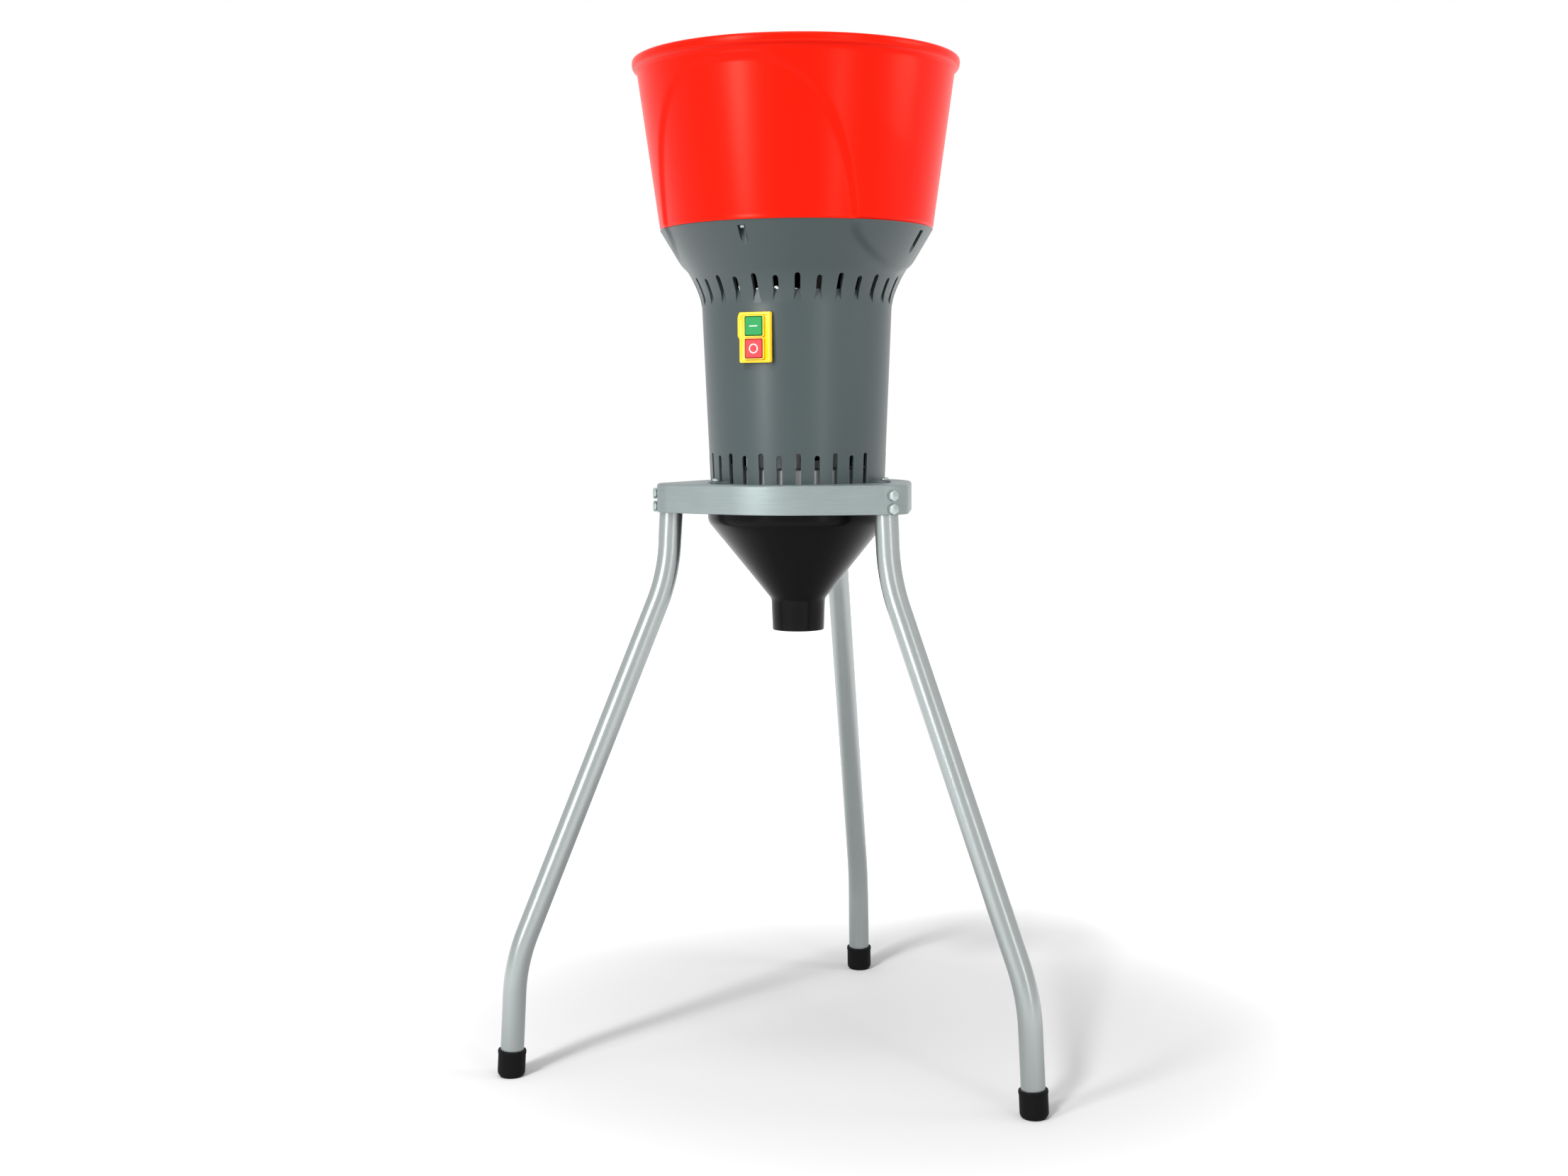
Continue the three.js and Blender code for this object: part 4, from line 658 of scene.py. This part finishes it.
bm = bmesh.new()
rows = [ring_outline(0.5, ring_low), ring_outline(0, ring_low + 0.5)]
for k in range(bend_steps + 1):
    a = math.radians(90 * k / bend_steps)
    rows.append(ring_outline(ring_bend * (1 - math.cos(a)), ring_top - ring_bend
                             + ring_bend * math.sin(a)))
rows += [opening(opening_radius + 0.6, ring_top), opening(opening_radius, ring_top - 0.6),
         opening(opening_radius, ring_top - ring_sheet)]
rows += [ring_outline(3.2, ring_top - ring_sheet), ring_outline(ring_sheet, ring_top - 3.4),
         ring_outline(ring_sheet, ring_low)]
skin(bm, rows)
settled(bm, "frame_ring_sheet", ring_zinc, "stand", ["frame_ring"])

# Legs. Bent tubes that stand in the corners of the ring, with rubber caps on their feet, leaning
# as the tubes do and worn flat on the ground.
tube_zinc = metal("tube_zinc", (0.33, 0.36, 0.355), (0.29, 0.32, 0.318), 0.30,
                  stretch=(1, 1, 0.02), grain_size=300, streaks=0.25, bump=0.0, clouding=0.03,
                  metallic=0.7)
cap_rubber = plastic("cap_rubber", (0.006, 0.006, 0.0065), (0.04, 0.04, 0.04), 0.62,
                     grain_size=1800, bump=0.25, specular=0.08, rubbing=0.3)
leg_lean = math.radians(3.4)
lean_rate = math.tan(leg_lean)
leg_turn, bolt_turn = math.radians(7), math.radians(-20)
tube_radius, tube_wall, bend_radius, foot_spread, seat_gap = 12.5, 1.5, 190.0, 186.0, 0.3
corner_seat = corner_radius - ring_sheet - seat_gap - tube_radius / math.cos(leg_lean)
tube_top, upper_bend, lower_bend, cap_floor = 628.7, ring_top - 99.3, 123.2, 6.0
cap_line = eased([(0, -6, 0), (11.4, -6, 0), (11.8, 0, 1), (14.75, 3, 2.4), (14.75, 24.6, 1),
                  (15.2, 25.4, 0.4), (15.2, 28.2, 0.6), (14.6, 29, 0.4), (12.85, 29, 0.3),
                  (12.85, cap_floor, 0), (0, cap_floor, 0)])


def bent(before, corner, after, steps=20):
    """Places on an arc that rounds a corner between two straight runs."""
    into, out_of = (corner - before).normalized(), (after - corner).normalized()
    turn = into.angle(out_of)
    start = corner - into * bend_radius * math.tan(turn / 2)
    inward = (out_of - into * into.dot(out_of)).normalized()
    return [start + into * bend_radius * math.sin(turn * k / steps)
            + inward * bend_radius * (1 - math.cos(turn * k / steps)) for k in range(steps + 1)]


top, upper = (Vector(((ring_low - z) * lean_rate, 0, z)) for z in (tube_top, upper_bend))
lower, foot = (Vector((foot_spread - z * lean_rate, 0, z)) for z in (lower_bend, cap_floor + 0.4))
leg_line = [top] + bent(top, upper, lower) + bent(upper, lower, foot) + [foot]


def tube_row(i, radius, sides=48):
    """A circle of places round the leg's line, square to it."""
    ahead = (leg_line[min(i + 1, len(leg_line) - 1)] - leg_line[max(i - 1, 0)]).normalized()
    across = Vector((-ahead.z, 0, ahead.x))
    return [(leg_line[i] + across * x + Vector((0, 1, 0)) * y) * MM for x, y in
            circle(radius, sides)]


def in_corner(bm, turn):
    """Stands a piece of a leg in its corner of the ring."""
    rotated(bm, leg_turn)
    bmesh.ops.translate(bm, verts=bm.verts, vec=(
        (corner_reach + corner_seat * math.cos(bolt_turn)) * MM,
        corner_seat * math.sin(bolt_turn) * MM, 0))
    rotated(bm, heading_of(turn))


for side, turn in zip(("left", "right", "rear"), corner_turns):
    bm = bmesh.new()
    stations = range(len(leg_line))
    skin(bm, [tube_row(i, tube_radius) for i in stations]
         + [tube_row(i, tube_radius - tube_wall) for i in reversed(stations)])
    in_corner(bm, turn)
    settled(bm, f"leg_tube_{side}", tube_zinc, "stand", [f"leg_{side}"])
    bm = bmesh.new()
    turned(bm, cap_line, 64, closed=True)
    rotated(bm, -leg_lean, "Y")
    bmesh.ops.translate(bm, verts=bm.verts, vec=(foot_spread * MM, 0, 0))
    bmesh.ops.bisect_plane(bm, geom=bm.verts[:] + bm.edges[:] + bm.faces[:], plane_co=(0, 0, 0),
                           plane_no=(0, 0, -1), clear_outer=True)
    bmesh.ops.holes_fill(bm, edges=[e for e in bm.edges if e.is_boundary])
    bmesh.ops.recalc_face_normals(bm, faces=bm.faces)
    in_corner(bm, turn)
    settled(bm, f"foot_cap_rubber_{side}", cap_rubber, "stand",
            [f"foot_cap_{side}"])

# Leg bolts. Two bright hexagon bolts through each corner of the ring, each with its nut run up on
# the far side of the tube.
bright_steel = metal("bright_steel", (0.38, 0.44, 0.425), (0.30, 0.36, 0.36), 0.30, grain_size=500,
                     streaks=0.35, cloud_size=220, clouding=0.15, bump=0.03, metallic=0.7)
bolt_flats, bolt_radius, bolt_head, bolt_nut, bolt_tail = 10.0, 3.0, 4.0, 5.0, 1.5
bolt_drops, head_seat = (11, 25), corner_radius + seat_gap


def hexagon(bm, flats, start, end, sides=48):
    """A hexagon along Z, with both its ends chamfered down to a round face."""
    round_face = 0.485 * flats
    rows = []
    for z, sign in ((start, 1), (end, -1)):
        face = [(x * MM, y * MM, z * MM) for x, y in circle(round_face, sides)]
        corners = []
        for k, (x, y) in enumerate(circle(1, sides)):
            round_flat = (2 * math.pi * k / sides) % math.radians(60) - math.radians(30)
            reach = flats / 2 / math.cos(round_flat)
            corners.append((reach * x * MM, reach * y * MM,
                            (z + sign * (reach - round_face) * 0.5) * MM))
        rows += [face, corners] if sign > 0 else [corners, face]
    skin(bm, rows, closed=False)


def bar(bm, radius, start, end, chamfer=0.5, sides=32):
    """A round bar along Z with chamfered ends."""
    skin(bm, [[(x * MM, y * MM, z * MM) for x, y in circle(r, sides)]
              for r, z in ((radius - chamfer, start), (radius, start + chamfer),
                           (radius, end - chamfer), (radius - chamfer, end))], closed=False)


nut_reach = (corner_seat + (ring_low - ring_top + bolt_drops[0]) * lean_rate
             - tube_radius / math.cos(leg_lean) - seat_gap)
for name, drop in zip(("upper", "lower"), bolt_drops):
    for i, turn in enumerate(corner_turns):
        bm = bmesh.new()
        hexagon(bm, bolt_flats, head_seat, head_seat + bolt_head)
        bar(bm, bolt_radius, nut_reach - bolt_nut - bolt_tail, corner_radius + 1)
        hexagon(bm, bolt_flats, nut_reach - bolt_nut, nut_reach)
        rotated(bm, math.radians(90), "Y")
        rotated(bm, bolt_turn)
        bmesh.ops.translate(bm, verts=bm.verts, vec=(corner_reach * MM, 0, (ring_top - drop) * MM))
        rotated(bm, heading_of(turn))
        settled(bm, f"{name}_leg_bolt_steel_{i + 1}", bright_steel, "stand",
                [f"{name}_leg_bolt_{i + 1}"])

# Screws. Pan heads with a cross recess: three stand on the ears of the housing with a nut under
# the funnel's flange, and four point up out of the pockets in the flare into the hopper.
frame_screw_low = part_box("frame_screw_1")[0].z / MM
frame_head_z, frame_nut_flats = ear_top + 0.4, 8
frame_nut = [frame_screw_low + up - frame_head_z for up in (1.5, 5.5)]
hopper_screw_low, hopper_screw_high = (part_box("hopper_screw_1")[k].z / MM for k in (0, 1))
hopper_screw_reach, hopper_head_rise = 136, 2.6


def cross_screw(head, rise, shank, length, tip=1.0):
    """A screw along Z. Its head stands on zero, and its shank hangs down."""
    bm = bmesh.new()
    turned(bm, eased([(0, rise, 0), (head * 0.7, rise * 0.93, 0.8), (head, rise * 0.45, 0.7),
                      (head, 0, 0.2), (shank, 0, 0), (shank, -length + tip, 0.2),
                      (shank - tip * 0.7, -length, 0), (0, -length, 0)]), 40)
    arm, half = head * 0.55, head * 0.12
    cross = [(arm, -half), (arm, half), (half, half)]
    for _ in range(3):
        cross += [(-y, x) for x, y in cross[-3:]]
    tools = bmesh.new()
    skin(tools, [[(x * pinch * MM, y * pinch * MM, z * MM) for x, y in cross]
                 for pinch, z in ((0.72, rise * 0.42), (1.0, rise + 1))], closed=False)
    return carved(bm, tools)


for i, turn in enumerate(ear_turns):
    bm = cross_screw(head=4.5, rise=2.8, shank=2.0, length=frame_head_z - frame_screw_low)
    hexagon(bm, frame_nut_flats, *frame_nut)
    bmesh.ops.translate(bm, verts=bm.verts, vec=(ear_reach * MM, 0, frame_head_z * MM))
    rotated(bm, heading_of(turn))
    settled(bm, f"frame_screw_steel_{i + 1}", bright_steel, "stand",
            [f"frame_screw_{i + 1}"])
for i, turn in enumerate(pocket_turns):
    bm = cross_screw(head=3.5, rise=hopper_head_rise, shank=1.75,
                     length=hopper_screw_high - hopper_screw_low - hopper_head_rise)
    rotated(bm, math.radians(180), "X")
    bmesh.ops.translate(bm, verts=bm.verts, vec=(
        hopper_screw_reach * MM, 0, (hopper_screw_low + hopper_head_rise) * MM))
    rotated(bm, heading_of(turn))
    settled(bm, f"hopper_screw_steel_{i + 1}", bright_steel, "stand",
            [f"hopper_screw_{i + 1}"])

# Switch. A yellow plate with a raised rim and a collar round each button, a green button with a
# bar and a red one with a ring, both square and soft at the edges.
switch_yellow = plastic("switch_yellow", (0.98, 0.66, 0.0), (1.0, 0.84, 0.25), 0.30,
                        grain_size=1600, bump=0.03, coat=0.15, rubbing=0.5, edge_width=0.0006)
start_green = plastic("start_green", (0.0, 0.31, 0.065), (0.05, 0.48, 0.18), 0.32,
                      grain_size=1600, bump=0.03, specular=0.22, edge_width=0.0006)
stop_red = plastic("stop_red", (0.74, 0.040, 0.050), (0.95, 0.20, 0.20), 0.32,
                   grain_size=1600, bump=0.03, specular=0.22, edge_width=0.0006)
mark_white = plastic("mark_white", (0.86, 0.88, 0.84), (0.95, 0.95, 0.92), 0.45,
                     grain_size=1600, bump=0.02)
plate_low, plate_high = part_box("switch_plate")
plate_back, plate_face = (plate_high.y - mill_axis.y) / MM, (plate_low.y - mill_axis.y) / MM
plate_left, plate_right, plate_half_height, plate_bulge = -19, 16.8, 26.25, 2
button_rise, button_side, button_size, button_stem = 11.6, -1.3, 20.2, 17.4
collar_inner, collar_outer, collar_face = 20.9, 23.0, plate_face - 2.3
mark_sunk, mark_proud, mark_length, mark_width, mark_radius = 0.3, -0.12, 9.2, 1.0, 5.0


def rounded(points, steps=5):
    """Corners (x, z, ease) of a flat outline, each rounded over its ease."""
    return [(p[0], p[1]) for p in eased(points, steps=steps, closed=True)]


def oblong(width, height, ease):
    """The rounded outline of an oblong about its middle."""
    x, z = width / 2, height / 2
    return rounded([(-x, -z, ease), (x, -z, ease), (x, z, ease), (-x, z, ease)])


def standing(outline, y, z=0.0, side=0.0):
    """An outline of (x, z) points set upright at a depth."""
    return [((x + side) * MM, y * MM, (switch_z + z + up) * MM) for x, up in outline]


def key(size, ease, y, z):
    """A square about the middle of one of the buttons, at a depth."""
    return standing(oblong(size, size, ease), y, z, button_side)


def plate_outline(inset):
    """The outline of the switch plate, set in by some millimetres, with its bulge on the left."""
    left, right, z = plate_left + inset, plate_right - inset, plate_half_height - inset
    return rounded([(left, -z, 2), (right, -z, 2), (right, z, 2), (left, z, 1.5),
                    (left - plate_bulge, z - 5, 1.5), (left - plate_bulge, 1.2, 1.5),
                    (left, -1.4, 1.5)])


bm = bmesh.new()
skin(bm, [standing(plate_outline(inset), y) for inset, y in (
    (0.3, plate_back), (0, plate_back - 0.4), (0, plate_face + 0.9), (0.3, plate_face + 0.3),
    (0.9, plate_face), (2.4, plate_face), (3.2, plate_face + 0.7))], closed=False)
tools = bmesh.new()
for z in (-button_rise, button_rise):
    skin(tools, [key(collar_inner, 1.2, plate_back + 4, z),
                 key(collar_inner, 1.2, plate_face - 4, z)], closed=False)
bm = carved(bm, tools)
for z in (-button_rise, button_rise):
    collar = bmesh.new()
    skin(collar, [key(collar_outer, 2.2, plate_face + 1, z),
                  key(collar_outer - 0.3, 2.2, collar_face + 0.5, z),
                  key(collar_outer - 0.9, 2.0, collar_face, z),
                  key(collar_inner - 0.3, 1.4, collar_face, z),
                  key(collar_inner - 0.5, 1.2, collar_face + 0.4, z),
                  key(collar_inner, 1.2, plate_face + 1, z)])
    joined(bm, collar)
settled(bm, "switch_plate_cover", switch_yellow, "stand", ["switch_plate"])
bar_mark = oblong(mark_length, mark_width, 0.3)
ring_outer, ring_inner = circle(mark_radius, 56), circle(mark_radius - 1.1, 56)
for node, z, material, slot, rings in (
        ("start_button", button_rise, start_green, "start_green",
         [(bar_mark, mark_sunk), (bar_mark, mark_proud)]),
        ("stop_button", -button_rise, stop_red, "stop_red",
         [(ring_outer, mark_sunk), (ring_outer, mark_proud), (ring_inner, mark_proud),
          (ring_inner, mark_sunk)])):
    low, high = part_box(node)
    front, rear = (low.y - mill_axis.y) / MM, (high.y - mill_axis.y) / MM
    bm = bmesh.new()
    skin(bm, [key(button_stem, 1.0, rear, z), key(button_stem, 1.0, front + 4.6, z),
              key(button_size, 1.0, front + 4.2, z), key(button_size - 1, 1.4, front + 1, z),
              key(button_size - 1.5, 1.4, front + 0.35, z),
              key(button_size - 2.3, 1.3, front, z)], closed=False)
    settled(bm, f"{node}_cap", material, node, [node])
    bm = bmesh.new()
    skin(bm, [standing(ring, front + y, z, button_side) for ring, y in rings],
         closed=len(rings) > 2)
    settled(bm, f"{node}_mark", mark_white, node)

# Cable gland. A black nylon gland on the back of the housing, with a ribbed dome nut and its
# locknut on the thread inside.
fitting_black = plastic("fitting_black", (0.016, 0.016, 0.018), (0.07, 0.07, 0.07), 0.42,
                        grain_size=1300, bump=0.12, specular=0.2)
gland_seat, locknut_face, gland_flats, rib_every, rib_depth = 98.9, 93.4, 18, 3, 0.955
bm = bmesh.new()
hexagon(bm, gland_flats, gland_seat, gland_seat + 5)
hexagon(bm, gland_flats, locknut_face - 4, locknut_face)
dome = bmesh.new()
turned(dome, eased([
    (3.5, locknut_face - 5, 0), (6, locknut_face - 5, 0.3), (6, gland_seat + 4, 0),
    (8.4, gland_seat + 4, 0), (8.4, gland_seat + 11, 3), (5.4, gland_seat + 15.6, 1.6),
    (3.5, gland_seat + 15.9, 0.4)]), 72, closed=True)
for v in dome.verts:
    step = round(math.degrees(math.atan2(v.co.y, v.co.x)) / 5)
    if math.hypot(v.co.x, v.co.y) / MM > 8 and step % rib_every == 0:
        v.co.x *= rib_depth
        v.co.y *= rib_depth
joined(bm, dome)
rotated(bm, math.radians(90), "Y")
bmesh.ops.translate(bm, verts=bm.verts, vec=(0, 0, gland_z * MM))
rotated(bm, heading_of(gland_turn))
settled(bm, "cable_gland_nylon", fitting_black, "stand", ["cable_gland"])

# Hammer chamber. A steel drum whose flange lies under the ring, seen through the lower vents,
# and the tube that brings the grain down to it past the motor.
chamber_steel = metal("chamber_steel", (0.50, 0.51, 0.50), (0.40, 0.41, 0.40), 0.42,
                      stretch=(0.03, 0.03, 1), grain_size=1400, streaks=0.6, bump=0.10,
                      metallic=0.3)
drum_low, drum_high = (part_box("chamber_drum")[k].z / MM for k in (0, 1))
drum_radius, drum_sheet, shaft_hole, flange_radius = 88.0, 2, 10, 108
drum_flange, rod_reach, rod_hole, feed_radius = drum_high - 17.3, 39.5, 2.3, 12
drum_inside = drum_radius - drum_sheet
bm = bmesh.new()
turned(bm, eased([
    (shaft_hole, drum_high, 0.4), (drum_radius, drum_high, 2), (drum_radius, drum_flange, 1),
    (flange_radius, drum_flange, 0.5), (flange_radius, drum_flange - drum_sheet, 0.5),
    (drum_radius, drum_flange - drum_sheet, 1), (drum_radius, drum_low, 0.4),
    (drum_inside, drum_low, 0.4), (drum_inside, drum_high - drum_sheet, 1),
    (shaft_hole, drum_high - drum_sheet, 0.4)], closed=True), 160, closed=True)
tools = bmesh.new()
for x, y, radius in ((0, throat_offset, feed_radius), (rod_reach, 0, rod_hole),
                     (-rod_reach, 0, rod_hole), (0, rod_reach, rod_hole),
                     (0, -rod_reach, rod_hole)):
    hole = bmesh.new()
    bar(hole, radius, drum_high - 8, drum_high + 8, chamfer=0.01, sides=36)
    bmesh.ops.translate(hole, verts=hole.verts, vec=(x * MM, y * MM, 0))
    joined(tools, hole)
bm = carved(bm, tools)
settled(bm, "chamber_drum_steel", chamber_steel, "stand", ["chamber_drum"])
tube_low, tube_high = (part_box("feed_tube")[k].z / MM for k in (0, 1))
bm = bmesh.new()
turned(bm, eased([(feed_radius, tube_low, 0.3), (feed_radius + 1.5, tube_low, 0.3),
                  (feed_radius + 1.5, tube_high, 0.3), (feed_radius, tube_high, 0.3)],
                 closed=True), 48, closed=True)
bmesh.ops.translate(bm, verts=bm.verts, vec=(0, throat_offset * MM, 0))
settled(bm, "feed_tube_steel", chamber_steel, "stand", ["feed_tube"])

# Outlet funnel. A glossy black moulding: a flange under the chamber, a collar, a cone and a short
# spout with a soft edge.
funnel_black = plastic("funnel_black", (0.003, 0.003, 0.0033), (0.02, 0.02, 0.02), 0.26,
                       bump=0.05, clouding=0.05, specular=0.09)
spout_z, funnel_top = (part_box("outlet_funnel")[k].z / MM for k in (0, 1))
collar_end = funnel_top - 37.9
cone_end = collar_end - 85.5
collar_radius, spout_radius, spout_end, funnel_wall, funnel_flange = 98.0, 29.5, 28.3, 2.5, 3
bm = bmesh.new()
turned(bm, stepped(eased([
    (flange_radius, funnel_top, 0.4), (flange_radius, funnel_top - funnel_flange, 0.6),
    (collar_radius, funnel_top - funnel_flange, 1), (collar_radius, collar_end, 4),
    (spout_radius, cone_end, 3), (spout_end, spout_z, 0.8), (spout_end - funnel_wall, spout_z, 0.8),
    (spout_radius - funnel_wall, cone_end + 1, 3),
    (collar_radius - funnel_wall, collar_end + 1, 4),
    (collar_radius - funnel_wall, funnel_top, 0.4),
], closed=True), 12, closed=True), 200, closed=True)
settled(bm, "outlet_funnel_moulding", funnel_black, "stand", ["outlet_funnel"])

# Inside of the mill. The sieve, the floor of the chamber, the motor and the hammers keep their
# own solids, and each takes the finish of its kind.
sieve_steel = metal("sieve_steel", (0.45, 0.46, 0.46), (0.36, 0.37, 0.38), 0.36,
                    stretch=(0.05, 0.05, 1), grain_size=1200)
hammer_steel = metal("hammer_steel", (0.34, 0.34, 0.35), (0.25, 0.25, 0.26), 0.42, grain_size=700,
                     clouding=0.25)
core_steel = metal("core_steel", (0.09, 0.09, 0.10), (0.045, 0.045, 0.05), 0.5,
                   stretch=(0.02, 0.02, 1), grain_size=1600, streaks=0.8, bump=0.2)
cast_aluminium = metal("cast_aluminium", (0.50, 0.51, 0.52), (0.42, 0.43, 0.44), 0.55,
                       grain_size=1400, bump=0.3, clouding=0.12)
winding_copper = metal("winding_copper", (0.45, 0.17, 0.07), (0.30, 0.10, 0.04), 0.34,
                       stretch=(0.4, 0.4, 1), grain_size=1500, streaks=0.8, bump=0.5)
carbon = plastic("carbon", (0.02, 0.02, 0.02), (0.07, 0.07, 0.07), 0.6, grain_size=2200, bump=0.3)
terminal_white = plastic("terminal_white", (0.76, 0.75, 0.71), (0.86, 0.85, 0.82), 0.45)
finishes = {
    fitting_black: ["switch_body", "cooling_fan"],
    sieve_steel: ["sieve"],
    chamber_steel: ["chamber_floor"],
    cast_aluminium: ["lower_motor_shield", "upper_motor_shield"],
    bright_steel: ["lower_bearing", "upper_bearing", "motor_shaft"]
    + [f"chamber_stud_{i}" for i in (1, 2, 3)] + [f"motor_tie_rod_{i}" for i in (1, 2, 3, 4)],
    core_steel: ["stator_core", "armature"],
    winding_copper: ["field_coil_1", "field_coil_2", "commutator"],
    carbon: ["carbon_brush_1", "carbon_brush_2"],
    terminal_white: ["terminal_block"],
    hammer_steel: ["upper_spacer", "upper_beater", "lower_spacer", "lower_beater", "hub_nut"],
}
for material, nodes in finishes.items():
    for node in nodes:
        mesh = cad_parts[node].data
        mesh.materials.clear()
        mesh.materials.append(material)

# The box round every mesh still shown, the floor left out.
low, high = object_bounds()
